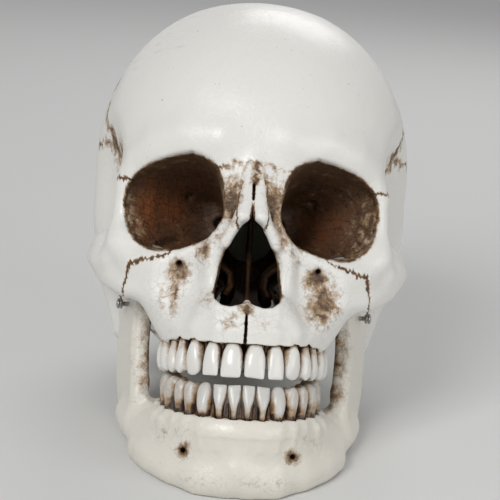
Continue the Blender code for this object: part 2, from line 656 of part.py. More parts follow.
def mesh_of_field(field, low, high, name):
    """The zero surface of a field that is mirrored at X = 0, as a mesh object."""
    counts = [int((b - a) / CELL) + 2 for a, b in zip(low, high)]
    counts[0] = int(high[0] / CELL) + 2
    starts = (0, low[1], low[2])
    axes = [start + CELL * np.arange(count) for start, count in zip(starts, counts)]
    grid = np.meshgrid(*(axis.astype(np.float32) for axis in axes), indexing="ij")
    half = field(grid).astype(np.float32)
    whole = np.concatenate([half[:0:-1], half])
    volume = openvdb.FloatGrid(background=float(whole.max()))
    volume.copyFromArray(whole)
    volume.transform = openvdb.createLinearTransform(voxelSize=CELL)
    points, triangles, quads = volume.convertToPolygons(isovalue=0.0, adaptivity=0.0)
    points = points + np.array([-CELL * (counts[0] - 1), low[1], low[2]])
    faces = [face[::-1].tolist() for face in (*quads, *triangles)]
    mesh = bpy.data.meshes.new(name)
    mesh.from_pydata(points.tolist(), [], faces)
    keep_largest(mesh)
    return add_object(name, mesh)


def add_object(name, mesh):
    obj = bpy.data.objects.new(name, mesh)
    bpy.context.scene.collection.objects.link(obj)
    return obj


def loose_parts(mesh):
    """The separate parts of a mesh, each as a list of its vertices' numbers."""
    lowest = np.arange(len(mesh.vertices))
    edges = np.empty(len(mesh.edges) * 2, np.int64)
    mesh.edges.foreach_get("vertices", edges)
    first, second = edges.reshape(-1, 2).T
    while True:
        least = np.minimum(lowest[first], lowest[second])
        before = lowest.copy()
        np.minimum.at(lowest, first, least)
        np.minimum.at(lowest, second, least)
        lowest = lowest[lowest]
        if (lowest == before).all():
            return [np.flatnonzero(lowest == label) for label in np.unique(lowest)]


def keep_vertices(mesh, kept):
    wanted = np.zeros(len(mesh.vertices), bool)
    wanted[kept] = True
    shape = bmesh.new()
    shape.from_mesh(mesh)
    shape.verts.ensure_lookup_table()
    spare = [vertex for vertex in shape.verts if not wanted[vertex.index]]
    bmesh.ops.delete(shape, geom=spare, context="VERTS")
    shape.to_mesh(mesh)
    shape.free()


def keep_largest(mesh):
    parts = loose_parts(mesh)
    if len(parts) > 1:
        keep_vertices(mesh, max(parts, key=len))


def settle(obj):
    """Replaces an object's mesh by what its modifiers make of it."""
    graph = bpy.context.evaluated_depsgraph_get()
    mesh = bpy.data.meshes.new_from_object(obj.evaluated_get(graph))
    obj.modifiers.clear()
    obj.data = mesh


def thin_out(obj, triangles):
    """Reduces an object's mesh to about this many triangles."""
    now = sum(len(face.vertices) - 2 for face in obj.data.polygons)
    modifier = obj.modifiers.new("thin out", "DECIMATE")
    modifier.ratio = min(1.0, triangles / now)
    settle(obj)


def boolean(obj, cutter, operation="DIFFERENCE"):
    modifier = obj.modifiers.new("cut", "BOOLEAN")
    modifier.operation = operation
    modifier.solver = "EXACT"
    modifier.object = cutter
    settle(obj)


# Teeth: rings from the root's peg to the biting edge, as (height, width, depth) shares. Heights
# below zero are shares of the peg's length, and the rest shares of the crown's

INCISOR_SHARES = (
    (-1.0, 0.42, 0.48),
    (0.06, 0.70, 0.86),
    (0.45, 0.92, 0.84),
    (0.75, 1.0, 0.58),
    (1.0, 0.94, 0.26),
)
CANINE_SHARES = (
    (-1.0, 0.44, 0.48),
    (0.06, 0.73, 0.88),
    (0.5, 0.98, 0.84),
    (0.78, 0.94, 0.60),
    (1.0, 0.36, 0.24),
)
PREMOLAR_SHARES = (
    (-1.0, 0.46, 0.50),
    (0.06, 0.74, 0.82),
    (0.55, 0.99, 1.0),
    (0.82, 0.92, 0.86),
    (1.0, 0.56, 0.58),
)
MOLAR_SHARES = (
    (-1.0, 0.60, 0.56),
    (0.06, 0.83, 0.86),
    (0.55, 1.0, 1.0),
    (0.84, 0.95, 0.86),
    (1.0, 0.70, 0.62),
)
RING_POINTS = 8
RING_FULLNESS_SHARE = 2.6

# Each tooth from the middle of the mouth backwards: its name, its rings, its share of the half
# arch, how much of its pitch it fills, its depth as a share of a molar's, and its lean in degrees
UPPER_TEETH = (
    ("central_incisor", INCISOR_SHARES, 0.130, 0.84, 0.70, 12),
    ("lateral_incisor", INCISOR_SHARES, 0.108, 0.80, 0.64, 11),
    ("canine", CANINE_SHARES, 0.118, 0.84, 0.82, 8),
    ("first_premolar", PREMOLAR_SHARES, 0.107, 0.86, 0.86, 4),
    ("second_premolar", PREMOLAR_SHARES, 0.105, 0.88, 0.86, 2),
    ("first_molar", MOLAR_SHARES, 0.150, 0.97, 1.0, 2),
    ("second_molar", MOLAR_SHARES, 0.147, 0.97, 1.0, 2),
    ("third_molar", MOLAR_SHARES, 0.135, 0.96, 0.92, 2),
)
LOWER_TEETH = (
    ("central_incisor", INCISOR_SHARES, 0.083, 0.82, 0.60, 6),
    ("lateral_incisor", INCISOR_SHARES, 0.092, 0.82, 0.62, 5),
    ("canine", CANINE_SHARES, 0.107, 0.84, 0.76, 3),
    ("first_premolar", PREMOLAR_SHARES, 0.107, 0.86, 0.78, 1),
    ("second_premolar", PREMOLAR_SHARES, 0.109, 0.88, 0.80, 0),
    ("first_molar", MOLAR_SHARES, 0.172, 0.97, 0.96, -2),
    ("second_molar", MOLAR_SHARES, 0.167, 0.97, 0.94, -4),
    ("third_molar", MOLAR_SHARES, 0.163, 0.96, 0.90, -5),
)


def arch_length(arch):
    turn = np.linspace(0, math.pi / 2, 181)
    x = arch["half"] * np.sin(turn) ** (2 / ARCH_FULLNESS_SHARE)
    y = arch["long"] * np.cos(turn) ** (2 / ARCH_FULLNESS_SHARE)
    return float(np.hypot(np.diff(x), np.diff(y)).sum())


def tooth_mesh(name, rings, width, depth, crown, grow=0.0):
    """A tooth that stands on its gum at zero, with its crown upwards; grow gives its socket."""
    shape = bmesh.new()
    loops = []
    for height_share, width_share, depth_share in rings:
        height = height_share * (PEG_LENGTH if height_share < 0 else crown)
        height += math.copysign(grow, height_share) if abs(height_share) == 1 else 0
        loop = []
        for index in range(RING_POINTS):
            turn = 2 * math.pi * index / RING_POINTS
            c, s = math.cos(turn), math.sin(turn)
            x = (width_share * width / 2 + grow) * math.copysign(abs(c) ** (2 / RING_FULLNESS_SHARE), c)
            y = (depth_share * depth / 2 + grow) * math.copysign(abs(s) ** (2 / RING_FULLNESS_SHARE), s)
            loop.append(shape.verts.new((x, y, height)))
        loops.append(loop)
    for low, high in zip(loops[:-1], loops[1:]):
        for index in range(RING_POINTS):
            after = (index + 1) % RING_POINTS
            shape.faces.new((low[index], low[after], high[after], high[index]))
    shape.faces.new(loops[0][::-1])
    shape.faces.new(loops[-1])
    bmesh.ops.triangulate(shape, faces=[face for face in shape.faces if len(face.verts) > 4])
    mesh = bpy.data.meshes.new(name)
    shape.to_mesh(mesh)
    shape.free()
    return mesh


def tooth_places(arch, teeth, gum, bite, upward):
    """Each tooth of one half row, as its table row, its size and its matrix."""
    run, at = arch_length(arch), 0
    for row in teeth:
        share = row[2]
        x, y, heading = arch_place(arch, at + share / 2)
        at += share
        low, high = gum(y), bite(y)
        pitch = share * run
        lean = Matrix.Rotation(math.radians(row[5]) * upward, 4, "X")
        flip = Matrix.Identity(4) if upward > 0 else Matrix.Rotation(math.pi, 4, "X")
        matrix = Matrix.Translation((x, y, low)) @ Matrix.Rotation(heading, 4, "Z") @ lean @ flip
        yield row, (pitch * row[3] - FIT, row[4] * TOOTH_DEPTH, abs(high - low)), matrix


# Pieces set in seats: the septum, the scrolls of the nose, the teeth and the screws

SEPTUM_SHARES = (
    *((-0.87, -0.33), (-0.46, -0.335), (-0.41, -0.22), (-0.43, 0.02), (-0.60, 0.13)),
    *((-0.68, 0.20), (-0.84, 0.235), (-0.85, 0.08), (-0.82, -0.10), (-0.84, -0.24)),
)
CONCHA_SHARES = (
    *((0.17, -0.105), (0.105, -0.09), (0.060, -0.13), (0.052, -0.19), (0.075, -0.235)),
    *((0.100, -0.225), (0.082, -0.19), (0.086, -0.15), (0.115, -0.125), (0.17, -0.14)),
)
CONCHA_ENDS_SHARES = (-0.84, -0.54)


def grown(corners, by):
    """An outline whose sides all lie further out by this much."""
    points = [Vector(corner) for corner in corners]
    area = sum(a.x * b.y - b.x * a.y for a, b in zip(points, points[1:] + points[:1]))
    found = []
    for index, point in enumerate(points):
        before, after = points[index - 1], points[(index + 1) % len(points)]
        ways = [(point - before).normalized(), (after - point).normalized()]
        normals = [Vector((way.y, -way.x)) * math.copysign(1, area) for way in ways]
        mean = (normals[0] + normals[1]).normalized()
        found.append(tuple(point + mean * by / max(mean.dot(normals[0]), 0.5)))
    return found


def septum(name, grow=0.0):
    corners = grown(line(DEPTH, DROP, SEPTUM_SHARES), grow)
    half = SEPTUM_THICKNESS / 2 + grow
    return prism(name, corners, 0, -half, half)


def concha(name, side, grow=0.0):
    corners = [(side * u, v) for u, v in grown(line(SPAN, DROP, CONCHA_SHARES), grow)]
    front, back = (share * DEPTH for share in CONCHA_ENDS_SHARES)
    return prism(name, corners, 1, front - grow, back + grow)


SCREW_SIDES = 8


def screw_mesh(name, length, grow=0.0):
    """A round-headed screw along +X, whose tip is at zero and whose head starts at its length."""
    profile = [(-grow, 0), (-grow, SCREW_RADIUS + grow), (length, SCREW_RADIUS + grow)]
    if grow:
        profile += [(length, 0)]
    else:
        rim, rise = length + HEAD_HEIGHT / 3, HEAD_HEIGHT * 2 / 3
        dome = [math.pi / 6 * step for step in range(3)]
        profile += [(length, HEAD_RADIUS)]
        profile += [(rim + rise * math.sin(t), HEAD_RADIUS * math.cos(t)) for t in dome]
        profile += [(length + HEAD_HEIGHT, 0)]
    turns = [2 * math.pi * index / SCREW_SIDES for index in range(SCREW_SIDES)]
    shape = bmesh.new()
    rings = []
    for x, radius in profile:
        around = turns if radius else turns[:1]
        spots = [(x, radius * math.cos(turn), radius * math.sin(turn)) for turn in around]
        rings.append([shape.verts.new(spot) for spot in spots])
    for low, high in zip(rings[:-1], rings[1:]):
        for index in range(SCREW_SIDES):
            pair = (index, (index + 1) % SCREW_SIDES)
            corners = [low[i % len(low)] for i in pair] + [high[i % len(high)] for i in pair[::-1]]
            shape.faces.new(list(dict.fromkeys(corners)))
    bmesh.ops.recalc_face_normals(shape, faces=shape.faces)
    mesh = bpy.data.meshes.new(name)
    shape.to_mesh(mesh)
    shape.free()
    return mesh


def joined(name, objects):
    """One cutter from several, which lie apart."""
    shape = bmesh.new()
    for obj in objects:
        mesh = obj.data.copy()
        mesh.transform(obj.matrix_world)
        shape.from_mesh(mesh)
        bpy.data.meshes.remove(mesh)
        bpy.data.objects.remove(obj)
    mesh = bpy.data.meshes.new(name)
    shape.to_mesh(mesh)
    shape.free()
    return add_object(name, mesh)


def mirror_matrix(matrix, side):
    """The place of a piece, or of its like on the other side of the head."""
    if side > 0:
        return matrix
    flip = Matrix.Scale(-1, 4, (1, 0, 0))
    return flip @ matrix @ flip


def make_teeth(arch, teeth, gum, bite, upward, jaw_name):
    """The teeth of one jaw, and for each side one cutter for their sockets."""
    made, sockets = [], {1: [], -1: []}
    for row, (width, depth, crown), matrix in tooth_places(arch, teeth, gum, bite, upward):
        for side, side_name in ((1, "left"), (-1, "right")):
            name = f"{jaw_name}_{row[0]}_{side_name}"
            tooth = add_object(name, tooth_mesh(name, row[1], width, depth, crown))
            socket = add_object(name, tooth_mesh(name, row[1], width, depth, crown, FIT))
            tooth.matrix_world = socket.matrix_world = mirror_matrix(matrix, side)
            made.append(tooth)
            sockets[side].append(socket)
    return made, {side: joined("sockets", found) for side, found in sockets.items()}


def cut_bones(skull):
    """The skull's bones, parted by their sutures and named by the places they hold."""
    blades = bpy.data.collections.new("blades")
    for blade in suture_blades():
        blades.objects.link(blade)
        hide(blade)
    modifier = skull.modifiers.new("sutures", "BOOLEAN")
    modifier.operand_type = "COLLECTION"
    modifier.collection = blades
    modifier.solver = "EXACT"
    settle(skull)
    for blade in list(blades.objects):
        bpy.data.objects.remove(blade)
    points = np.empty(len(skull.data.vertices) * 3, np.float32)
    skull.data.vertices.foreach_get("co", points)
    points = points.reshape(-1, 3)
    parts = sorted(loose_parts(skull.data), key=len)
    parts = parts[-sum(2 if seed[0] else 1 for seed in BONE_SEED_SHARES.values()) :]
    bones = {}
    for name, seed in BONE_SEED_SHARES.items():
        sides = ((1, "_left"), (-1, "_right")) if seed[0] else ((1, ""),)
        for side, ending in sides:
            spot = np.array(place((side * seed[0], *seed[1:])))
            nearest = [((points[part] - spot) ** 2).sum(1).min() for part in parts]
            mesh = skull.data.copy()
            keep_vertices(mesh, parts[int(np.argmin(nearest))])
            bones[name + ending] = add_object(name + ending, mesh)
    bpy.data.objects.remove(skull)
    return bones


def hide(obj):
    obj.hide_render = True
    obj.display_type = "WIRE"


def points_of(obj):
    points = np.empty(len(obj.data.vertices) * 3, np.float32)
    obj.data.vertices.foreach_get("co", points)
    return points.reshape(-1, 3)


def world_points(obj):
    matrix = np.array(obj.matrix_world)
    return points_of(obj) @ matrix[:3, :3].T + matrix[:3, 3]


def resting_tilt(skull_points, jaw_points):
    """How far the skull lies back when its jaw and the back of its head touch one plane."""

    def lift(tilt, points):
        return (points[:, 2] * math.cos(tilt) - points[:, 1] * math.sin(tilt)).min()

    low, high = 0.0, math.pi / 3
    for _ in range(40):
        tilt = (low + high) / 2
        if lift(tilt, skull_points) > lift(tilt, jaw_points):
            low = tilt
        else:
            high = tilt
    return tilt, lift(tilt, jaw_points)


def floor_cutter(tilt, level):
    """Everything below the resting plane, in the upright skull's frame."""
    up = Vector((-math.sin(tilt), math.cos(tilt)))
    along = Vector((up.y, -up.x))
    top = up * level
    reach = VAULT_LENGTH
    corners = [top - along * reach, top + along * reach]
    corners += [corners[1] - up * reach, corners[0] - up * reach]
    return prism("floor", [tuple(corner) for corner in corners], 0, -reach, reach)


def wall_from_outside(field, y, z, start):
    """How far out the bone's surface lies at a place seen from the side, inwards of start."""
    x = np.linspace(start, 0, 400, dtype=np.float32).reshape(-1, 1, 1)
    values = field((x, np.full_like(x, y), np.full_like(x, z))).reshape(-1)
    return float(x.reshape(-1)[int(np.argmax(values < 0))])


# Jaw springs: each hangs upright between a screw in the temple and a screw in the jaw's side

SPRING_FOOT_SHARES = (-0.30, -0.215)
POINTS_PER_TURN = 8


def spring_frame(tilt):
    """The foot of a spring, and the way up, in the upright skull's frame."""
    _, y, z = place((0, *SPRING_FOOT_SHARES))
    return Vector((SPRING_SPREAD, y, z)), Vector((0, -math.sin(tilt), math.cos(tilt)))


def spring_points(tilt):
    """One unbroken wire: a straight end, the coil, and a straight end."""
    foot, up = spring_frame(tilt)
    side, across = Vector((1, 0, 0)), Vector((1, 0, 0)).cross(up)
    straight = SCREW_RADIUS + FIT
    turn_in = straight + 2 * WIRE
    coil_start = turn_in + 2 * WIRE
    height = SPRING_LENGTH - 2 * coil_start
    points = [foot + up * end for end in (straight, straight + WIRE, turn_in)]
    count = COIL_TURNS * POINTS_PER_TURN
    for index in range(count + 1):
        share = index / count
        turn = 2 * math.pi * COIL_TURNS * share
        reach = side * math.cos(turn) + across * math.sin(turn)
        points.append(foot + up * (coil_start + height * share) + reach * COIL_RADIUS)
    top = SPRING_LENGTH
    ends = (turn_in, straight + WIRE, straight)
    return points + [foot + up * (top - end) for end in ends]


def least_gap(points):
    """The least gap of a wire to itself, between points that lie a turn or more apart."""
    spots = np.array([tuple(point) for point in points])
    apart = np.linalg.norm(spots[:, None] - spots[None], axis=2)
    steps = np.abs(np.subtract.outer(np.arange(len(spots)), np.arange(len(spots))))
    return float(apart[steps >= POINTS_PER_TURN - 2].min()) - WIRE


def spring_object(name, points):
    curve = bpy.data.curves.new(name, "CURVE")
    curve.dimensions = "3D"
    curve.bevel_depth = WIRE / 2
    curve.bevel_resolution = 1
    curve.use_fill_caps = True
    spline = curve.splines.new("POLY")
    spline.points.add(len(points) - 1)
    for point, spot in zip(spline.points, points):
        point.co = (*spot, 1)
    return add_object(name, curve)


def make_springs(tilt):
    """Both springs, their four screws, and for each screw its bore's cutter and the bone it sits in."""
    points = spring_points(tilt)
    print(f"least gap between the turns of a jaw spring: {1000 * least_gap(points):.2f} mm")
    foot, up = spring_frame(tilt)
    head = foot + up * SPRING_LENGTH
    springs, screws, bores = [], {}, []
    for side, side_name in ((1, "left"), (-1, "right")):
        wire = [Vector((side * spot.x, spot.y, spot.z)) for spot in points]
        springs.append(spring_object(f"jaw_spring_{side_name}", wire))
        for end, spot, field, bone in (
            ("lower", foot, jaw_field, "mandible"),
            ("upper", head, skull_field, None),
        ):
            wall = wall_from_outside(field, spot.y, spot.z, SPRING_SPREAD)
            length = SPRING_SPREAD + WIRE - wall + SCREW_BITE
            outwards = Matrix.Rotation(0 if side > 0 else math.pi, 4, "Z")
            matrix = Matrix.Translation((side * (wall - SCREW_BITE), spot.y, spot.z)) @ outwards
            name = f"spring_screw_{end}_{side_name}"
            screw = add_object(name, screw_mesh(name, length))
            bore = add_object(name + "_bore", screw_mesh(name, length, FIT))
            screw.matrix_world = bore.matrix_world = matrix
            screws[name] = screw
            bores.append((side, bone, bore))
    return springs, screws, bores


# Colours and finishes

FINISHES = {
    "bone": ((0.83, 0.79, 0.70), 0.42, 0.0),
    "jaw": ((0.82, 0.77, 0.66), 0.42, 0.0),
    "inner": ((0.42, 0.27, 0.15), 0.6, 0.0),
    "tooth": ((0.85, 0.82, 0.74), 0.28, 0.0),
    "steel": ((0.55, 0.55, 0.56), 0.3, 1.0),
}


def finish(obj, kind):
    """A material of the object's own."""
    colour, roughness, metallic = FINISHES[kind]
    material = bpy.data.materials.new(obj.name)
    material.use_nodes = True
    shader = material.node_tree.nodes["Principled BSDF"]
    shader.inputs["Base Color"].default_value = (*colour, 1)
    shader.inputs["Roughness"].default_value = roughness
    shader.inputs["Metallic"].default_value = metallic
    obj.data.materials.clear()
    obj.data.materials.append(material)
    if obj.type == "MESH":
        obj.data.shade_smooth()
        obj.data.set_sharp_from_angle(angle=math.radians(35))


# The whole model

SKULL_TRIANGLES = 4200
JAW_TRIANGLES = 900


def field_box(low_shares, high_shares):
    low, high = place(low_shares), place(high_shares)
    half = VAULT_BREADTH / 2 + OVERRUN
    rear = VAULT_LENGTH * (1 / 2 + VAULT_MIDDLE_SHARE) + 2 * OVERRUN
    crown = VAULT_HEIGHT + OVERRUN
    return (-half, low[1], low[2]), (half, max(high[1], rear), max(high[2], crown))


def main():
    for obj in list(bpy.data.objects):
        bpy.data.objects.remove(obj)
    skull = mesh_of_field(skull_field, *field_box((0, -1.12, -0.50), (0, 0, 0)), "skull")
    jaw_low, jaw_high = place((-0.64, -1.05, -1.11)), place((0.64, 0.05, 0.05))
    jaw = mesh_of_field(jaw_field, jaw_low, jaw_high, "mandible")
    thin_out(skull, SKULL_TRIANGLES)
    thin_out(jaw, JAW_TRIANGLES)
    tilt, level = resting_tilt(points_of(skull), points_of(jaw))
    bones = cut_bones(skull)
    bones["mandible"] = jaw

    upper, upper_sockets = make_teeth(UPPER_ARCH, UPPER_TEETH, UPPER_GUM, UPPER_BITE, -1, "upper")
    lower, lower_sockets = make_teeth(LOWER_ARCH, LOWER_TEETH, LOWER_GUM, LOWER_BITE, 1, "lower")
    springs, screws, bores = make_springs(tilt)
    nose = [septum("vomer")]
    cutters = [(("maxilla_left", "maxilla_right", "sphenoid_bone"), septum("septum slot", FIT))]
    for side, side_name in ((1, "left"), (-1, "right")):
        nose.append(concha(f"nasal_concha_{side_name}", side))
        cutters.append(((f"maxilla_{side_name}",), concha("concha slot", side, FIT)))
        cutters.append(((f"maxilla_{side_name}",), upper_sockets[side]))
        cutters.append((("mandible",), lower_sockets[side]))
    for side, bone, bore in bores:
        side_name = "left" if side > 0 else "right"
        cutters.append(((bone,) if bone else (f"temporal_bone_{side_name}", "sphenoid_bone"), bore))
    cutters.append((("occipital_bone", "mandible"), floor_cutter(tilt, level + REST_DEPTH)))
    for names, cutter in cutters:
        for name in names:
            boolean(bones[name], cutter)
            keep_largest(bones[name].data)
        bpy.data.objects.remove(cutter)

    rest = bpy.data.objects.new("skull_rest", None)
    hinge = bpy.data.objects.new("jaw_hinge", None)
    for empty in (rest, hinge):
        bpy.context.scene.collection.objects.link(empty)
    hinge.parent = rest
    _, y, z = place(HINGE_SHARES)
    hinge.location = (0, y, z)
    with_jaw = [jaw, *lower, *springs, *(screws[name] for name in screws if "lower" in name)]
    with_skull = [obj for name, obj in bones.items() if name != "mandible"]
    with_skull += [*upper, *nose, *(screws[name] for name in screws if "upper" in name)]
    for obj in with_skull:
        obj.parent = rest
    for obj in with_jaw:
        obj.parent = hinge
        obj.matrix_parent_inverse = Matrix.Translation((0, -y, -z))
    for name, obj in bones.items():
        finish(obj, "jaw" if name == "mandible" else "bone")
    for obj in nose:
        finish(obj, "inner")
    for obj in upper + lower:
        finish(obj, "tooth")
    for obj in [*springs, *screws.values()]:
        finish(obj, "steel")

    rest.rotation_euler = (-tilt, 0, 0)
    bpy.context.view_layer.update()
    spots = np.concatenate([world_points(obj) for obj in bones.values()])
    middle = (spots.min(0) + spots.max(0)) / 2
    rest.location = (-middle[0], -middle[1], -spots[:, 2].min())
    bpy.context.view_layer.update()
    axis = hinge.matrix_world.translation
    print(f"laid back {math.degrees(tilt):.2f} degrees; jaw hinge at {axis.y:.5f}, {axis.z:.5f} m")


if __name__ == "__main__":
    main()
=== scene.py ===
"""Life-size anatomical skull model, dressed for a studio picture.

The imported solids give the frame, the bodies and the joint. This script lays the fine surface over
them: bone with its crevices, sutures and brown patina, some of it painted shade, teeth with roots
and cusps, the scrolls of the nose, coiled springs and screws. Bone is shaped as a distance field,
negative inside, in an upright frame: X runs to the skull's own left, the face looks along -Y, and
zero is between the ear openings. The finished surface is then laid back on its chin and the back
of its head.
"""

import math
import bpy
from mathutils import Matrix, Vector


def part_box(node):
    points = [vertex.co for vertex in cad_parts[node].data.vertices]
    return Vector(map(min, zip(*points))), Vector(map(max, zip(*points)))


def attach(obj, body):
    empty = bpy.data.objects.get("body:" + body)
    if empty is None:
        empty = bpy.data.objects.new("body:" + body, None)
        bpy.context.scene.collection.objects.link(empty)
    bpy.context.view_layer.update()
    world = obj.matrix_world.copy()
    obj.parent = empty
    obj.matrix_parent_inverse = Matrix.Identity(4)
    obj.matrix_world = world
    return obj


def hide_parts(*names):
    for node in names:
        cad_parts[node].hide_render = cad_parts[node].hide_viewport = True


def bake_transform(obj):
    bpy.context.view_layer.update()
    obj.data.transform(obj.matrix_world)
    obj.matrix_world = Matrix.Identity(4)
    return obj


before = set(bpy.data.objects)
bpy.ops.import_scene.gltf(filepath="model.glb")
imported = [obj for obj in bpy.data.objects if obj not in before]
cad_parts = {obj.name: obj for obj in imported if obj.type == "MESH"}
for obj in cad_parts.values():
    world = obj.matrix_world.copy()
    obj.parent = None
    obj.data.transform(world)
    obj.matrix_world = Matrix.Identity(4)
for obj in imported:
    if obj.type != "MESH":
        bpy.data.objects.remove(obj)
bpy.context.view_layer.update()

from concurrent.futures import ThreadPoolExecutor

import bmesh
import bpy
import numpy as np
import openvdb
from bpy.props import FloatProperty, FloatVectorProperty, IntProperty, PointerProperty
from mathutils import Matrix, Quaternion, Vector
from mathutils.bvhtree import BVHTree

bl_info = {
    "name": "Anatomical skull model",
    "version": (1, 0, 0),
    "blender": (4, 5, 0),
    "location": "3D Viewport > Sidebar > Skull",
    "description": "Builds a life-size skull with parted bones, set teeth and a sprung jaw",
    "category": "Add Mesh",
}

# Driving sizes of the whole skull
SPAN = 0.100  # across the outer rims of both eye sockets
DEPTH = 0.100  # from the ear line to the front of the upper gum
DROP = 0.100  # from the ear line down to the chin
VAULT_BREADTH = 0.1374
VAULT_LENGTH = 0.182
VAULT_HEIGHT = 0.1168  # from the ear line to the crown
BAR = 0.010  # a stout bar of bone, which the bars' radii follow
WALL = 0.0048  # of the braincase

# Eye sockets
ORBIT_WIDTH = 0.038
ORBIT_HEIGHT = 0.0365
ORBIT_DEPTH = 0.044
ORBIT_WALL = 0.0034

# Nose
NOSE_WIDTH = 0.0256
NOSE_HEIGHT = 0.034
SEPTUM_THICKNESS = 0.0016

# Openings of the base and the sides
MAGNUM_WIDTH = 0.030
MAGNUM_LENGTH = 0.036
EAR_BORE = 0.0064
FORAMEN = 0.0016

# Jaw
HINGE_LENGTH = 0.018  # of the jaw head, along the hinge
HINGE_RADIUS = 0.0046
HINGE_CLEARANCE = 0.0009
JAW_OPENING = math.radians(22)  # how far the skull leaves the jaw room to open
RAMUS_THICKNESS = 0.0084
BODY_THICKNESS = 0.0118

# Teeth
PEG_LENGTH = 0.0075
TOOTH_DEPTH = 0.0100  # of a molar, from cheek to tongue

# Jaw springs and their screws
WIRE = 0.0008
COIL_RADIUS = 0.0022
COIL_TURNS = 6
SPRING_LENGTH = 0.027  # between the two screws
SPRING_SPREAD = 0.052  # from the middle of the skull to the spring's axis
SCREW_RADIUS = 0.0011
HEAD_RADIUS = 0.0022
HEAD_HEIGHT = 0.0014
THREAD_PITCH = 0.0007
SPRING_FOOT_SHARES = (-0.30, -0.215)  # of the lower screw's middle, in depth and height

FIT = 0.0003  # between a set piece and its seat
MARGIN = 0.003  # around the skull, when its surface is looked for


# Distance fields


def union(a, b, ease):
    """Both masses, joined with a fillet of the width ease."""
    mix = np.clip((b - a) / ease / 2 + 1 / 2, 0, 1)
    return b + (a - b) * mix - ease * mix * (1 - mix)


def cut(a, b, ease):
    """The mass a without b."""
    return -union(-a, b, ease)


def common(a, b, ease):
    """What both masses hold."""
    return -union(-a, -b, ease)


def soft_step(low, high, values):
    """A smooth climb from 0 at low to 1 at high."""
    share = np.clip((values - low) / (high - low), 0, 1)
    return share * share * (3 - 2 * share)


def place(shares):
    """A place given in shares of the span, the depth and the drop."""
    return tuple(share * size for share, size in zip(shares, (SPAN, DEPTH, DROP)))


def corners_of(across, up, shares):
    """The corners of an outline, from shares of one size across and of one upwards."""
    return [(u * across, v * up) for u, v in shares]


def ellipsoid(grid, centre_shares, radius_shares):
    centre, radii = place(centre_shares), place(radius_shares)
    steps = [(values - c) / r for values, c, r in zip(grid, centre, radii)]
    near = np.sqrt(sum(step**2 for step in steps))
    slope = np.sqrt(sum((step / r) ** 2 for step, r in zip(steps, radii)))
    return near * (near - 1) / np.maximum(slope, 1 / SPAN)


def bar(grid, start, end, start_radius, end_radius):
    """A straight bar with round ends, whose radius changes evenly."""
    along = [b - a for a, b in zip(start, end)]
    offset = [values - a for values, a in zip(grid, start)]
    length = sum(step**2 for step in along)
    share = np.clip(sum(o * a for o, a in zip(offset, along)) / length, 0, 1)
    reach = np.sqrt(sum((o - a * share) ** 2 for o, a in zip(offset, along)))
    return reach - (start_radius + (end_radius - start_radius) * share)


def chain(grid, shares):
    """Bars from row to row of a table: a place, and a radius as a share of a stout bar."""
    found = None
    for start, end in zip(shares[:-1], shares[1:]):
        piece = bar(grid, place(start[:3]), place(end[:3]), start[3] * BAR, end[3] * BAR)
        found = piece if found is None else np.minimum(found, piece)
    return found


def outline(u, v, corners):
    """Distance to a closed outline in the plane of u and v."""
    nearest = np.full(u.shape, np.inf, np.float32)
    inside = np.zeros(u.shape, bool)
    for (ax, ay), (bx, by) in zip(corners, corners[1:] + corners[:1]):
        ex, ey = bx - ax, by - ay
        wx, wy = u - ax, v - ay
        share = np.clip((wx * ex + wy * ey) / (ex * ex + ey * ey), 0, 1)
        nearest = np.minimum(nearest, (wx - ex * share) ** 2 + (wy - ey * share) ** 2)
        if ey:
            crosses = (v < ay) != (v < by)
            inside ^= crosses & (u < ax + wy * ex / ey)
    nearest = np.sqrt(nearest)
    return np.where(inside, -nearest, nearest)


def plate(flat, across, half, rounding):
    """A plate with round edges, from the distance to its outline and the distance across it."""
    a = flat + rounding
    b = np.abs(across) - half + rounding
    outer = np.sqrt(np.maximum(a, 0) ** 2 + np.maximum(b, 0) ** 2)
    return np.minimum(np.maximum(a, b), 0) + outer - rounding


def slope(grid, start_shares, end_shares):
    """Distance above a plane that holds two places seen from the side, forwards to backwards."""
    _, (sy, ey), (sz, ez) = zip(place((0, *start_shares)), place((0, *end_shares)))
    run, rise = ey - sy, ez - sz
    return ((grid[2] - sz) * run - (grid[1] - sy) * rise) / math.hypot(run, rise)


# Skull, in shares of the span, the depth and the drop. Rows of four numbers are a place and a
# radius, and pairs of three are the middle and the radii of an ellipsoid

VAULT_MIDDLE_SHARE = -0.033  # of the length
EQUATOR_SHARE = 0.375  # level of the widest place, of the height
VAULT_PLAN = 2.2  # powers of the vault's rounding, from above and upright
VAULT_RISE = 2.10
BACK_SHARES = ((0, 0.35, 0.05), (0.54, 0.45, 0.44))
SIDE_SHARES = ((0.36, -0.02, 0.16), (0.31, 0.42, 0.29))
TEMPLE_SHARES = ((0.86, -0.54, 0.20), (0.34, 0.38, 0.46))
BROW_PLANE_SHARES = ((-0.97, 0.17), (-0.45, -0.05))

ORBIT_FRONT_SHARE = -0.84
ORBIT_SIDE_SHARES = (-0.68, 0.28)  # where its outer wall starts, and how far it closes in
ORBIT_LEVEL_SHARE = 0.118
ORBIT_TILT = math.radians(-12)
ORBIT_POWER = 2.7  # of the rounding of its corners

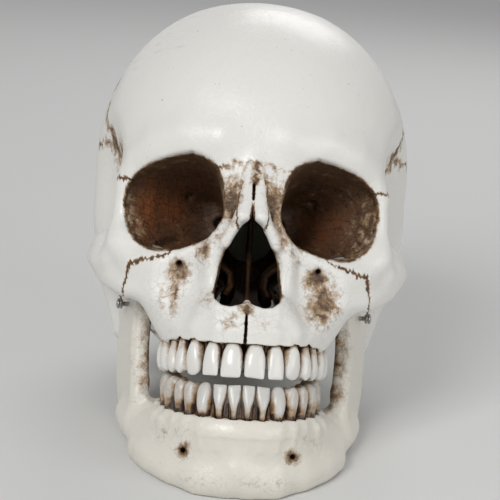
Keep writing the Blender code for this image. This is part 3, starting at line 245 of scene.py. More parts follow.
BROW_SHARES = (
    (0.14, -0.895, 0.375, 0.60),
    (0.28, -0.850, 0.390, 0.58),
    (0.39, -0.780, 0.360, 0.55),
    (0.470, -0.710, 0.305, 0.46),
    (0.515, -0.672, 0.215, 0.37),
    (0.520, -0.660, 0.09, 0.38),
    (0.520, -0.672, -0.03, 0.52),
)
LOWER_RIM_SHARES = (
    (0.52, -0.672, -0.03, 0.50),
    (0.45, -0.725, -0.110, 0.46),
    (0.36, -0.780, -0.125, 0.44),
    (0.25, -0.832, -0.105, 0.42),
    (0.165, -0.862, -0.03, 0.38),
    (0.120, -0.885, 0.08, 0.38),
    (0.110, -0.890, 0.20, 0.40),
)
ARCH_SHARES = (
    (0.555, -0.62, -0.080, 0.50),
    (0.605, -0.54, -0.070, 0.44),
    (0.630, -0.44, -0.045, 0.38),
    (0.638, -0.34, -0.010, 0.34),
    (0.632, -0.22, 0.015, 0.32),
    (0.615, -0.10, 0.03, 0.38),
    (0.60, 0.02, 0.045, 0.42),
    (0.60, 0.16, 0.08, 0.36),
)
CHEEK_SHARES = (
    *((0.20, 0.02), (0.40, -0.02), (0.56, 0.06), (0.655, 0.035), (0.66, -0.04), (0.635, -0.12)),
    *((0.60, -0.17), (0.56, -0.205), (0.49, -0.25), (0.42, -0.265), (0.365, -0.29)),
    *((0.32, -0.34), (0.30, -0.42), (0.20, -0.46)),
)
NOSE_SIDE_SHARES = (
    (0.070, -0.885, 0.28, 0.50),
    (0.078, -0.905, 0.14, 0.50),
    (0.112, -0.910, 0.00, 0.44),
    (0.148, -0.895, -0.11, 0.38),
    (0.168, -0.880, -0.23, 0.44),
    (0.140, -0.890, -0.34, 0.50),
)
NOSE_BRIDGE_SHARES = (
    (0.0, -0.915, 0.27, 0.46),
    (0.018, -0.945, 0.17, 0.42),
    (0.030, -0.985, 0.085, 0.36),
    (0.034, -1.010, 0.045, 0.30),
)
NOSE_RIM_SHARES = ((0.045, -0.985, 0.04, 0.28), (0.095, -0.945, -0.05, 0.28))
NOSE_SILL_SHARE = -0.308
# Of half the nose's width, and of its height from the sill
APERTURE_SHARES = (
    *((0.0, 1.0), (0.26, 0.95), (0.46, 0.84), (0.64, 0.69), (0.80, 0.51), (0.94, 0.33)),
    *((1.0, 0.20), (0.97, 0.09), (0.77, 0.015), (0.50, 0.0), (0.22, 0.03), (0.0, 0.07)),
)
NASAL_CAVITY_SHARES = ((0, -0.66, -0.11), (0.155, 0.27, 0.20))
NASAL_ROOF_SHARES = ((0.0, -0.86, 0.02, 0.5), (0.0, -0.80, 0.16, 0.45))
THROAT_SHARES = ((0.05, -0.60, -0.19, 0.72), (0.05, -0.20, -0.25, 0.72))
UPPER_JAW_SHARES = ((0, -0.70, -0.30), (0.33, 0.27, 0.18))
UPPER_JAW_SIDE_SHARES = ((0.20, -0.71, -0.21), (0.21, 0.165, 0.23))
CANINE_HOLLOW_SHARES = ((0.285, -0.945, -0.22), (0.11, 0.10, 0.12))
PALATE_SHARES = ((0, -0.66, -0.50), (0.19, 0.30, 0.13))
BASE_SHARES = (
    (0.0, -0.50, -0.04, 1.3),
    (0.0, -0.30, -0.08, 1.2),
    (0.0, -0.10, -0.20, 0.85),
    (0.0, -0.02, -0.235, 0.70),
)
WING_SHARES = ((0.0, -0.42, 0.06, 0.8), (0.16, -0.41, 0.13, 0.6), (0.34, -0.38, 0.10, 0.5))
PETROUS_SHARES = (
    (0.20, -0.40, -0.05, 1.0),
    (0.36, -0.14, -0.04, 1.1),
    (0.48, 0.04, -0.03, 1.2),
)
MASTOID_SHARES = ((0.535, 0.13, -0.03, 1.15), (0.515, 0.11, -0.26, 0.60))
CONDYLE_SHARES = ((0.15, -0.03, -0.29, 0.52), (0.195, 0.09, -0.305, 0.52))
INION_SHARES = ((0.0, 0.75, -0.06, 0.4), (0.0, 0.79, 0.02, 0.4))
NUCHAL_SHARES = (
    (0.0, 0.785, 0.00, 0.26),
    (0.20, 0.745, 0.035, 0.26),
    (0.40, 0.60, 0.02, 0.26),
    (0.51, 0.36, -0.01, 0.3),
)
PTERYGOID_SHARES = (
    (0.15, -0.41, -0.10, 0.34),
    (0.175, -0.395, -0.24, 0.27),
    (0.19, -0.37, -0.36, 0.24),
)
HAMULUS_SHARES = ((0.135, -0.405, -0.10, 0.26), (0.135, -0.40, -0.36, 0.22))
TEMPLE_PASSAGE_SHARES = (
    (0.56, -0.50, 0.16, 0.55),
    (0.555, -0.49, -0.01, 0.55),
    (0.54, -0.40, 0.0, 0.70),
    (0.53, -0.34, -0.14, 0.70),
)
INFRATEMPORAL_SHARES = ((0.46, -0.32, -0.24), (0.13, 0.22, 0.19))
SPINE_SHARES = ((0.0, -0.90, -0.335, 0.32), (0.0, -0.985, -0.310, 0.15))
FORAMEN_SHARES = ((0.275, -0.95, -0.165), (0.275, -0.80, -0.11))
EAR_SHARES = ((0.50, 0, 0), (0.80, 0.01, 0))
MAGNUM_MIDDLE_SHARE = 0.14
MAGNUM_TOP_SHARE = 0.10

# Arches of the teeth: half their width, their length and the place of their back end
UPPER_ARCH = {"half": 0.30 * SPAN, "long": 0.48 * DEPTH, "back": -0.49 * DEPTH}
LOWER_ARCH = {"half": 0.29 * SPAN, "long": 0.462 * DEPTH, "back": -0.485 * DEPTH}
ARCH_POWER = 2.3  # of their rounding
ARCH_STEPS = 180
GUM_RADIUS_SHARE = 0.56  # of the ridge that holds the upper teeth
GUM_STOPS = (0, 0.15, 0.3, 0.45, 0.6, 0.8, 1.0)  # where the ridge's bars meet, along its arch


def arch_curve(arch):
    """Half an arch from the front backwards: places across, and how far forward each is."""
    turn = np.linspace(0, math.pi / 2, ARCH_STEPS + 1)
    across = arch["half"] * np.sin(turn) ** (2 / ARCH_POWER)
    return across, arch["long"] * np.cos(turn) ** (2 / ARCH_POWER)


def arch_length(arch):
    """How long half an arch is."""
    x, y = arch_curve(arch)
    return float(np.hypot(np.diff(x), np.diff(y)).sum())


def arch_place(arch, share):
    """A place on an arch at a share of its half length from the front, and its heading there."""
    x, forward = arch_curve(arch)
    y = arch["back"] - forward
    run = np.concatenate([[0], np.cumsum(np.hypot(np.diff(x), np.diff(y)))])
    at = share * run[-1]
    step = run[-1] / 40
    here = [float(np.interp(at, run, values)) for values in (x, y)]
    ends = [[float(np.interp(at + s, run, values)) for values in (x, y)] for s in (-step, step)]
    heading = math.atan2(ends[1][1] - ends[0][1], ends[1][0] - ends[0][0])
    return here[0], here[1], heading


def orbit(grid, grow=0.0):
    """The eye socket: a four-sided cone with soft corners, narrowing towards the back."""
    x, y, z = grid
    front = ORBIT_FRONT_SHARE * DEPTH
    side_front, side_run = (share * DEPTH for share in ORBIT_SIDE_SHARES)
    deep = np.clip((y - front) / ORBIT_DEPTH, 0, 1.1)
    lateral_start = np.clip((y - side_front) / side_run, 0, 1.2)
    medial = SPAN / 2 - ORBIT_WIDTH - 0.01 * SPAN * deep
    lateral = SPAN / 2 + 0.005 * SPAN - 0.8 * ORBIT_WIDTH * lateral_start
    half_width = np.maximum((lateral - medial) / 2, 0.08 * ORBIT_WIDTH) + grow
    half_height = ORBIT_HEIGHT / 2 * (1 - 0.62 * deep**1.6) + grow
    level = ORBIT_LEVEL_SHARE * DROP + 0.03 * DROP * deep
    c, s = math.cos(ORBIT_TILT), math.sin(ORBIT_TILT)
    u, v = x - (lateral + medial) / 2, z - level
    across, up = u * c + v * s, v * c - u * s
    reach = np.abs(across / half_width) ** ORBIT_POWER + np.abs(up / half_height) ** ORBIT_POWER
    near = reach ** (1 / ORBIT_POWER)
    side = (near - 1) * np.minimum(half_width, half_height)
    return common(side, y - (front + ORBIT_DEPTH) - grow, 0.4 * BAR)


def vault(grid, inset=0.0):
    """The braincase's egg, by the distance along the ray from its middle."""
    level = EQUATOR_SHARE * VAULT_HEIGHT
    middle = (0, VAULT_MIDDLE_SHARE * VAULT_LENGTH, level)
    halves = (VAULT_BREADTH / 2, VAULT_LENGTH / 2, VAULT_HEIGHT - level)
    steps = [np.abs(values - m) for values, m in zip(grid, middle)]
    shares = [step / (half - inset) for step, half in zip(steps, halves)]
    plan = shares[0] ** VAULT_PLAN + shares[1] ** VAULT_PLAN
    size = (plan ** (VAULT_RISE / VAULT_PLAN) + shares[2] ** VAULT_RISE) ** (1 / VAULT_RISE)
    reach = np.sqrt(sum(step**2 for step in steps))
    return reach * (1 - 1 / np.maximum(size, 0.05))


def braincase(grid, inset=0.0):
    """The braincase with its hollow temples; inset gives the inner side of its wall."""
    thin = 1 - inset / (0.4 * SPAN)
    egg = common(vault(grid, inset), inset - slope(grid, *BROW_PLANE_SHARES), BAR)
    back, sides = (
        ellipsoid(grid, middle, [radius * thin for radius in radii])
        for middle, radii in (BACK_SHARES, SIDE_SHARES)
    )
    temple = ellipsoid(grid, *TEMPLE_SHARES)
    temple = union(temple, chain(grid, TEMPLE_PASSAGE_SHARES), 0.6 * BAR) - inset
    return cut(union(union(egg, back, 1.6 * BAR), sides, BAR), temple, 0.6 * BAR)


def cheek(grid):
    """The cheek's plate: its front outline, bent backwards around the face."""
    x, y, z = grid
    bend = np.clip((x - 0.25 * SPAN) / (0.41 * SPAN), 0, 1.2) ** 2.4
    front = -0.82 * DEPTH + 0.36 * DEPTH * bend
    steep = np.clip((x - 0.25 * SPAN) / (0.41 * SPAN), 0, 1)
    across = (y - front - 0.05 * DEPTH) / np.sqrt(1 + 2.2 * steep**1.2)
    corners = corners_of(SPAN, DROP, CHEEK_SHARES)
    return plate(outline(x, z, corners), across, 0.42 * BAR, 0.36 * BAR)


def gum_wall(grid, arch, gum, lift, radius):
    """A ridge along an arch, this far over the gum's edge."""
    found = None
    places = [arch_place(arch, share)[:2] for share in GUM_STOPS]
    for (ax, ay), (bx, by) in zip(places[:-1], places[1:]):
        ends = (ax, ay, gum(ay) + lift), (bx, by, gum(by) + lift)
        piece = bar(grid, *ends, radius, radius)
        found = piece if found is None else union(found, piece, 0.1 * BAR)
    return found


def gum_slant(front_share, rise_share):
    """A level that climbs from the front of the mouth to its back."""
    return lambda y: front_share * DROP + rise_share * (y + DEPTH)


UPPER_GUM = gum_slant(-0.456, 0.19)
LOWER_GUM = gum_slant(-0.748, 0.23)
UPPER_BITE = gum_slant(-0.589, 0.165)
LOWER_BITE = gum_slant(-0.618, 0.212)


def aperture(grid):
    x, _, z = grid
    sill = NOSE_SILL_SHARE * DROP
    half = [(u * NOSE_WIDTH / 2, v * NOSE_HEIGHT + sill) for u, v in APERTURE_SHARES]
    return outline(x, z, half + [(-u, v) for u, v in half[-2:0:-1]])


def nasal_hollow(grid):
    """The nose's opening and the cavity behind it, with its way out to the throat."""
    _, y, _ = grid
    mouth = np.maximum(aperture(grid), y + 0.62 * DEPTH)
    roof = chain(grid, NASAL_ROOF_SHARES)
    cavity = union(ellipsoid(grid, *NASAL_CAVITY_SHARES), roof, 0.3 * BAR)
    throat = chain(grid, THROAT_SHARES)
    return union(union(mouth, cavity, 0.2 * BAR), throat, 0.3 * BAR)


def socket_rim(x):
    """How far back the rim of the eye socket stands, at each place across."""
    return -0.87 * DEPTH + (x - 0.12 * SPAN) * 0.53


def face_masses(grid, skull):
    """The skull with the masses of its face."""
    x, y, _ = grid
    radius = GUM_RADIUS_SHARE * BAR
    ridge, above = (
        gum_wall(grid, UPPER_ARCH, UPPER_GUM, lift, radius) for lift in (radius, 1.3 * BAR)
    )
    for mass, ease in (
        (common(orbit(grid, ORBIT_WALL), socket_rim(x) - y, 0.3 * BAR), 0.5),
        (chain(grid, BROW_SHARES), 0.8),
        (chain(grid, LOWER_RIM_SHARES), 0.5),
        (cheek(grid), 0.5),
        (chain(grid, ARCH_SHARES), 0.4),
        (ellipsoid(grid, *UPPER_JAW_SHARES), 0.8),
        (ellipsoid(grid, *UPPER_JAW_SIDE_SHARES), 0.7),
        (chain(grid, NOSE_SIDE_SHARES), 0.5),
        (chain(grid, NOSE_BRIDGE_SHARES), 0.4),
        (chain(grid, NOSE_RIM_SHARES), 0.3),
        (union(ridge, above, 0.3 * BAR), 0.5),
    ):
        skull = union(skull, mass, ease * BAR)
    return skull


def base_masses(grid, skull):
    """The skull with the masses of its base, its neck muscles' lines and its mastoids."""
    for shares, ease in (
        (BASE_SHARES, 0.8),
        (WING_SHARES, 0.5),
        (PETROUS_SHARES, 0.8),
        (MASTOID_SHARES, 0.6),
        (CONDYLE_SHARES, 0.4),
        (INION_SHARES, 0.9),
        (NUCHAL_SHARES, 1.0),
        (PTERYGOID_SHARES, 0.4),
        (HAMULUS_SHARES, 0.4),
    ):
        skull = union(skull, chain(grid, shares), ease * BAR)
    return skull


def skull_hollows(grid, skull):
    """The skull with its inside, its sockets, its nose and its openings cut out."""
    x, y, z = grid
    skull = cut(skull, ellipsoid(grid, *CANINE_HOLLOW_SHARES), 0.7 * BAR)
    skull = cut(skull, ellipsoid(grid, *PALATE_SHARES), 0.4 * BAR)
    beneath = ellipsoid(grid, *INFRATEMPORAL_SHARES)
    socket = jaw_sweep(grid) - HINGE_CLEARANCE
    skull = cut(skull, beneath, 0.4 * BAR)
    inner = np.maximum(braincase(grid, WALL), -orbit(grid, ORBIT_WALL))
    inner = common(inner, WALL - np.minimum(beneath, socket), 0.4 * BAR)
    skull = cut(skull, inner, 0.3 * BAR)
    skull = cut(skull, orbit(grid), 0.18 * BAR)
    skull = cut(skull, nasal_hollow(grid), 0.15 * BAR)
    half = (MAGNUM_WIDTH / 2, MAGNUM_LENGTH / 2)
    behind = y - MAGNUM_MIDDLE_SHARE * DEPTH
    magnum = (np.hypot(x / half[0], behind / half[1]) - 1) * half[0]
    skull = cut(skull, np.maximum(magnum, z - MAGNUM_TOP_SHARE * DROP), 0.2 * BAR)
    ends = [place(shares) for shares in EAR_SHARES]
    skull = cut(skull, bar(grid, *ends, EAR_BORE / 2, EAR_BORE / 2), 0.15 * BAR)
    ends = [place(shares) for shares in FORAMEN_SHARES]
    skull = cut(skull, bar(grid, *ends, FORAMEN / 2, FORAMEN / 2), 0.1 * BAR)
    return cut(skull, socket, 0.2 * BAR)


HINGE_SHARES = (0.50, -0.13, -0.06)


def hinge_bar(grid, radius):
    """The round head of the jaw's hinge, lying along its axis."""
    x, y, z = place(HINGE_SHARES)
    reach = HINGE_LENGTH / 2 - HINGE_RADIUS
    return bar(grid, (x - reach, y, z), (x + reach, y, z), radius, radius)


def jaw_sweep(grid):
    """Everything that the jaw's side passes through while it opens."""
    _, hinge_y, hinge_z = place(HINGE_SHARES)
    back, up = grid[1] - hinge_y, grid[2] - hinge_z
    found = None
    for share in (0, 1 / 3, 2 / 3, 1):
        c, s = math.cos(JAW_OPENING * share), math.sin(JAW_OPENING * share)
        opened = jaw_side([grid[0], back * c + up * s + hinge_y, up * c - back * s + hinge_z])
        found = opened if found is None else np.minimum(found, opened)
    return found


# Jaw, in the same shares

RAMUS_SHARES = (
    *((-0.12, -0.08), (-0.085, -0.20), (-0.09, -0.36), (-0.12, -0.52), (-0.17, -0.625)),
    *((-0.26, -0.70), (-0.38, -0.75), (-0.46, -0.74), (-0.49, -0.62), (-0.465, -0.48)),
    *((-0.445, -0.36), (-0.45, -0.24), (-0.415, -0.10), (-0.375, -0.085), (-0.33, -0.16)),
    *((-0.27, -0.195), (-0.21, -0.17), (-0.17, -0.10)),
)
LOWER_EDGE_SHARES = (
    (0.0, -0.845, -0.955),
    (0.13, -0.825, -0.945),
    (0.25, -0.750, -0.905),
    (0.335, -0.64, -0.85),
    (0.385, -0.51, -0.79),
    (0.43, -0.38, -0.725),
    (0.465, -0.26, -0.65),
)
JAW_NECK_SHARES = ((0.50, -0.14, -0.10, 0.36), (0.485, -0.14, -0.22, 0.40))
CHIN_SHARES = ((0.0, -0.905, -0.93, 0.50), (0.0, -0.88, -0.83, 0.30))
CHIN_CORNER_SHARES = ((0.06, -0.875, -0.97, 0.46), (0.14, -0.845, -0.965, 0.42))
CHIN_OPENING_SHARES = ((0.215, -0.92, -0.86, 0.10), (0.20, -0.74, -0.86, 0.08))


def jaw_body(grid):
    """The jaw's bow, from its lower edge up to the ridge under the teeth."""
    found = None
    rows = []
    for index, low in enumerate(LOWER_EDGE_SHARES):
        share = index / (len(LOWER_EDGE_SHARES) - 1)
        x, y, _ = arch_place(LOWER_ARCH, 1.08 * share if share < 0.9 else 1.0)
        rows.append((place(low), (x, y, LOWER_GUM(y) - 0.52 * BAR)))
    low_radius, top_radius = BODY_THICKNESS / 2, 0.44 * BODY_THICKNESS
    for (low, top), (next_low, next_top) in zip(rows[:-1], rows[1:]):
        for share in (0, 1 / 3, 2 / 3):
            start = [a + (b - a) * share for a, b in zip(low, next_low)]
            end = [a + (b - a) * share for a, b in zip(top, next_top)]
            rib = bar(grid, start, end, low_radius, top_radius)
            found = rib if found is None else union(found, rib, 0.25 * BAR)
    return found


def jaw_side(grid):
    """The jaw's upright side, with its neck and the head that turns in the skull."""
    x, y, z = grid
    corners = corners_of(DEPTH, DROP, RAMUS_SHARES)
    middle = 0.478 * SPAN + 0.24 * (y + 0.20 * DEPTH) - 0.02 * np.abs(z + 0.40 * DROP)
    half = RAMUS_THICKNESS / 2
    ramus = plate(outline(y, z, corners), x - middle, half, 0.8 * half)
    neck = chain(grid, JAW_NECK_SHARES)
    return union(union(ramus, neck, 0.4 * BAR), hinge_bar(grid, HINGE_RADIUS), 0.2 * BAR)


def jaw_field(grid):
    jaw = union(jaw_body(grid), jaw_side(grid), 0.5 * BAR)
    jaw = union(jaw, chain(grid, CHIN_SHARES), 0.6 * BAR)
    jaw = union(jaw, chain(grid, CHIN_CORNER_SHARES), 0.5 * BAR)
    return cut(jaw, chain(grid, CHIN_OPENING_SHARES), 0.08 * BAR)


# Teeth: rings from the root's peg to the biting edge, as (height, width, depth, cheekwards offset)
# shares. Heights below zero are shares of the peg's length, and the rest shares of what shows

UPPER_INCISOR_SHARES = (
    *((-1.0, 0.40, 0.44, 0.0), (-0.4, 0.58, 0.70, 0.0), (0.0, 0.68, 0.82, 0.0)),
    *((0.10, 0.74, 0.87, 0.01), (0.19, 0.84, 0.88, 0.03), (0.30, 0.94, 0.84, 0.06)),
    *((0.46, 1.0, 0.74, 0.08), (0.66, 1.0, 0.60, 0.08), (0.83, 0.99, 0.42, 0.06)),
    *((0.94, 0.96, 0.28, 0.04), (0.985, 0.90, 0.18, 0.03), (1.0, 0.76, 0.08, 0.03)),
)
LOWER_INCISOR_SHARES = (
    *((-1.0, 0.36, 0.46, 0.0), (-0.4, 0.48, 0.72, 0.0), (0.0, 0.50, 0.80, 0.0)),
    *((0.18, 0.53, 0.84, 0.0), (0.34, 0.62, 0.84, 0.01), (0.48, 0.80, 0.78, 0.03)),
    *((0.62, 0.96, 0.66, 0.04), (0.78, 1.0, 0.50, 0.03), (0.93, 1.0, 0.34, 0.02)),
    *((0.985, 0.95, 0.22, 0.02), (1.0, 0.82, 0.10, 0.02)),
)
CANINE_SHARES = (
    *((-1.0, 0.42, 0.46, 0.0), (-0.4, 0.60, 0.74, 0.0), (0.0, 0.68, 0.84, 0.0)),
    *((0.12, 0.74, 0.88, 0.02), (0.22, 0.84, 0.90, 0.05), (0.38, 0.95, 0.86, 0.07)),
    *((0.58, 1.0, 0.74, 0.07), (0.76, 0.97, 0.58, 0.05), (0.89, 0.84, 0.40, 0.03)),
    *((0.965, 0.58, 0.24, 0.02), (1.0, 0.24, 0.08, 0.02)),
)
PREMOLAR_SHARES = (
    *((-1.0, 0.44, 0.50, 0.0), (-0.4, 0.64, 0.74, 0.0), (0.0, 0.72, 0.80, 0.0)),
    *((0.16, 0.78, 0.84, 0.0), (0.30, 0.89, 0.90, 0.0), (0.48, 0.99, 0.98, 0.0)),
    *((0.70, 1.0, 1.0, 0.0), (0.84, 0.97, 0.92, 0.0), (0.92, 0.88, 0.78, 0.0)),
    *((0.95, 0.64, 0.58, 0.0), (0.93, 0.32, 0.28, 0.0), (0.92, 0.08, 0.08, 0.0)),
)
MOLAR_SHARES = (
    *((-1.0, 0.54, 0.54, 0.0), (-0.4, 0.76, 0.76, 0.0), (0.0, 0.82, 0.82, 0.0)),
    *((0.18, 0.86, 0.86, 0.0), (0.34, 0.93, 0.93, 0.0), (0.52, 0.99, 1.0, 0.0)),
    *((0.70, 1.0, 1.0, 0.0), (0.84, 0.98, 0.92, 0.0), (0.92, 0.90, 0.82, 0.0)),
    *((0.95, 0.66, 0.62, 0.0), (0.92, 0.32, 0.30, 0.0), (0.90, 0.08, 0.08, 0.0)),
)

# Each tooth from the middle of the mouth backwards: its name, its rings, its share of the half
# arch, how much of its pitch it fills, its depth as a share of a molar's, and its lean in degrees
UPPER_TEETH = (
    ("central_incisor", UPPER_INCISOR_SHARES, 0.130, 0.84, 0.70, 12),
    ("lateral_incisor", UPPER_INCISOR_SHARES, 0.108, 0.80, 0.64, 11),
    ("canine", CANINE_SHARES, 0.118, 0.84, 0.82, 8),
    ("first_premolar", PREMOLAR_SHARES, 0.107, 0.86, 0.86, 4),
    ("second_premolar", PREMOLAR_SHARES, 0.105, 0.88, 0.86, 2),
    ("first_molar", MOLAR_SHARES, 0.150, 0.97, 1.0, 2),
    ("second_molar", MOLAR_SHARES, 0.147, 0.97, 1.0, 2),
    ("third_molar", MOLAR_SHARES, 0.135, 0.96, 0.92, 2),
)
LOWER_TEETH = (
    ("central_incisor", LOWER_INCISOR_SHARES, 0.083, 0.82, 0.60, 6),
    ("lateral_incisor", LOWER_INCISOR_SHARES, 0.092, 0.82, 0.62, 5),
    ("canine", CANINE_SHARES, 0.107, 0.84, 0.76, 3),
    ("first_premolar", PREMOLAR_SHARES, 0.107, 0.86, 0.78, 1),
    ("second_premolar", PREMOLAR_SHARES, 0.109, 0.88, 0.80, 0),
    ("first_molar", MOLAR_SHARES, 0.172, 0.97, 0.96, -2),
    ("second_molar", MOLAR_SHARES, 0.167, 0.97, 0.94, -4),
    ("third_molar", MOLAR_SHARES, 0.163, 0.96, 0.90, -5),
)

# The rows of teeth and their gums. The way is 1 where the teeth stand upwards, the edge is half
# the width of the gum's edge, the neck is a share of a tooth's width, and the web is how far the
# bone between two teeth reaches over the gum's edge
UPPER_ROW = {
    "arch": UPPER_ARCH,
    "teeth": UPPER_TEETH,
    "gum": UPPER_GUM,
    "bite": UPPER_BITE,
    "way": -1,
    "edge": 0.0047,
    "neck": 0.80,
    "web": 0.0064,
}
LOWER_ROW = {
    "arch": LOWER_ARCH,
    "teeth": LOWER_TEETH,
    "gum": LOWER_GUM,
    "bite": LOWER_BITE,
    "way": 1,
    "edge": 0.0039,
    "neck": 0.62,
    "web": 0.0080,
}
CROWN_FILL = 0.965  # how much of its pitch a crown fills, so that it nearly meets the next one


def tooth_places(row):
    """Each tooth of one half row: its name, rings, size, crown's width and matrix."""
    run, at, way = arch_length(row["arch"]), 0, row["way"]
    for name, table, share, fill, depth, lean in row["teeth"]:
        x, y, heading = arch_place(row["arch"], at + share / 2)
        at += share
        low, high = row["gum"](y), row["bite"](y)
        width = share * run * fill - FIT
        crown = max(width, (width + FIT) / fill * CROWN_FILL)
        tip = Matrix.Rotation(math.radians(lean) * way, 4, "X")
        flip = Matrix.Identity(4) if way > 0 else Matrix.Rotation(math.pi, 4, "X")
        matrix = Matrix.Translation((x, y, low)) @ Matrix.Rotation(heading, 4, "Z") @ tip @ flip
        yield name, table, (width, depth * TOOTH_DEPTH, abs(high - low)), crown, matrix


# For each tooth its rings, size and crown's width, and what turns a place into the tooth's own
for tooth_row in (UPPER_ROW, LOWER_ROW):
    tooth_row["frames"] = [
        (table, size, crown, np.array(matrix.inverted(), np.float32))
        for _, table, size, crown, matrix in tooth_places(tooth_row)
    ]


# The septum and the scrolls of the nose

SEPTUM_SHARES = (
    *((-0.87, -0.33), (-0.46, -0.335), (-0.41, -0.22), (-0.43, 0.02), (-0.60, 0.13)),
    *((-0.68, 0.20), (-0.84, 0.235), (-0.85, 0.08), (-0.82, -0.10), (-0.84, -0.24)),
)
CONCHA_SHARES = (
    *((0.17, -0.105), (0.105, -0.09), (0.060, -0.13), (0.052, -0.19), (0.075, -0.235)),
    *((0.100, -0.225), (0.082, -0.19), (0.086, -0.15), (0.115, -0.125), (0.17, -0.14)),
)
CONCHA_ENDS_SHARES = (-0.84, -0.54)


# Fine forms, which the plain solids leave out

LAY_BACK = math.radians(26.14)  # how far the skull lies back
REST_PLACE = (0.0, 0.01254, 0.05447)  # of the ear line's middle
SKIN = 0.00026  # how far the fine surface stays inside the plain one
SOCKET_REACH = 0.0016  # how deep the gum draws in around a tooth
POCKET_ROOM = 0.0003  # between a tooth and the gum around it
WEB_HEIGHT = 0.0060  # of the bone between two teeth, over the gum's edge
WEB_HALF = 0.0013
RIM_WALL = 0.0007  # what stays outside a pocket
CHIN_EDGE_SHARES = (
    *((0.0, -0.835, -0.960, 0.60), (0.13, -0.82, -0.955, 0.60), (0.23, -0.76, -0.932, 0.55)),
    *((0.32, -0.67, -0.895, 0.46), (0.39, -0.56, -0.855, 0.34)),
)

# Ridges and hollows of the face, as rows like those of the plain tables
TEMPORAL_CREST_SHARES = (
    (0.512, -0.672, 0.22, 0.22),
    (0.500, -0.640, 0.33, 0.26),
    (0.478, -0.600, 0.44, 0.26),
    (0.480, -0.500, 0.56, 0.20),
)
LOWER_FISSURE_SHARES = (
    (0.20, -0.46, 0.085, 0.20),
    (0.29, -0.54, 0.035, 0.24),
    (0.375, -0.63, -0.030, 0.22),
)
UPPER_FISSURE_SHARES = ((0.175, -0.45, 0.12, 0.20), (0.255, -0.475, 0.225, 0.16))
OPTIC_SHARES = ((0.145, -0.47, 0.135, 0.22), (0.12, -0.38, 0.14, 0.22))
TEAR_GROOVE_SHARES = ((0.128, -0.835, 0.11, 0.16), (0.135, -0.815, -0.01, 0.24))
DARK_PITS = (LOWER_FISSURE_SHARES, UPPER_FISSURE_SHARES, OPTIC_SHARES)
BROW_NOTCH_SHARES = ((0.255, -0.92, 0.300, 0.13), (0.250, -0.84, 0.295, 0.13))
NOSE_SLIT_SHARES = (-1.02, -0.935, 0.112, 0.180)  # in depth, then in height
SLIT_HALF = 0.00018
FORAMEN_FUNNEL_SHARES = ((0.266, -0.945, -0.164, 0.16), (0.274, -0.865, -0.136, 0.10))
GUM_SLIT_SHARES = (-1.06, -0.955, -0.455, -0.345)
SPINE_KNOB_SHARES = ((0.0, -0.955, -0.300), (0.020, 0.030, 0.030))
ROUGH_JAW_SHARES = ((0.345, -0.46, -0.60), (0.11, 0.16, 0.10))
WEAR = 0.00018  # how uneven bare bone is
SCATTER = (73856093, 19349663, 83492791, 2654435, 1274126177)  # odd factors that stir a place


def hashed(x, y, z, seed):
    """A repeatable value between -1 and 1 for each whole-numbered place."""
    a, b, c, d, spread = SCATTER
    mixed = x * a ^ y * b ^ z * c ^ seed * d
    mixed = (mixed ^ (mixed >> 13)) * spread & 0x7FFFFFFF
    return ((mixed ^ (mixed >> 11)) & 0xFFFF).astype(np.float32) / 32767.5 - 1


def ripple(grid, size, seed):
    """Smooth unevenness between -1 and 1, with swells about this far apart."""
    spots = [values / size for values in grid]
    lows = [np.floor(values).astype(np.int64) for values in spots]
    parts = [values - low for values, low in zip(spots, lows)]
    eases = [part * part * (3 - 2 * part) for part in parts]
    total = 0
    for corner in range(8):
        steps = [corner >> axis & 1 for axis in range(3)]
        weight = 1
        for step, ease in zip(steps, eases):
            weight = weight * (ease if step else 1 - ease)
        total = total + weight * hashed(*(low + step for low, step in zip(lows, steps)), seed)
    return total


def even(grid):
    """The same place on the skull's left side, for which the fields are drawn."""
    return [np.abs(grid[0]), grid[1], grid[2]]


def slit(grid, shares, half):
    """A narrow upright slit at X = 0."""
    x, y, z = grid
    front, back, low, high = shares
    sides = [front * DEPTH - y, y - back * DEPTH, low * DROP - z, z - high * DROP]
    return np.maximum(x - half, np.maximum.reduce(sides))


def own_place(grid, inverse):
    """A place as a tooth's own frame has it."""
    x, y, z = grid
    return [row[0] * x + row[1] * y + row[2] * z + row[3] for row in inverse[:3]]


def gum_plan(grid, arch, half):
    """How far a place is from an arch as seen from above, past half the width of its edge."""
    x, y, _ = grid
    places = [arch_place(arch, share)[:2] for share in np.linspace(0, 1, 13)]
    nearest = 1.0
    for (ax, ay), (bx, by) in zip(places[:-1], places[1:]):
        run, rise = bx - ax, by - ay
        along = np.clip(((x - ax) * run + (y - ay) * rise) / (run * run + rise * rise), 0, 1)
        nearest = np.minimum(nearest, np.hypot(x - ax - run * along, y - ay - rise * along))
    return nearest - half


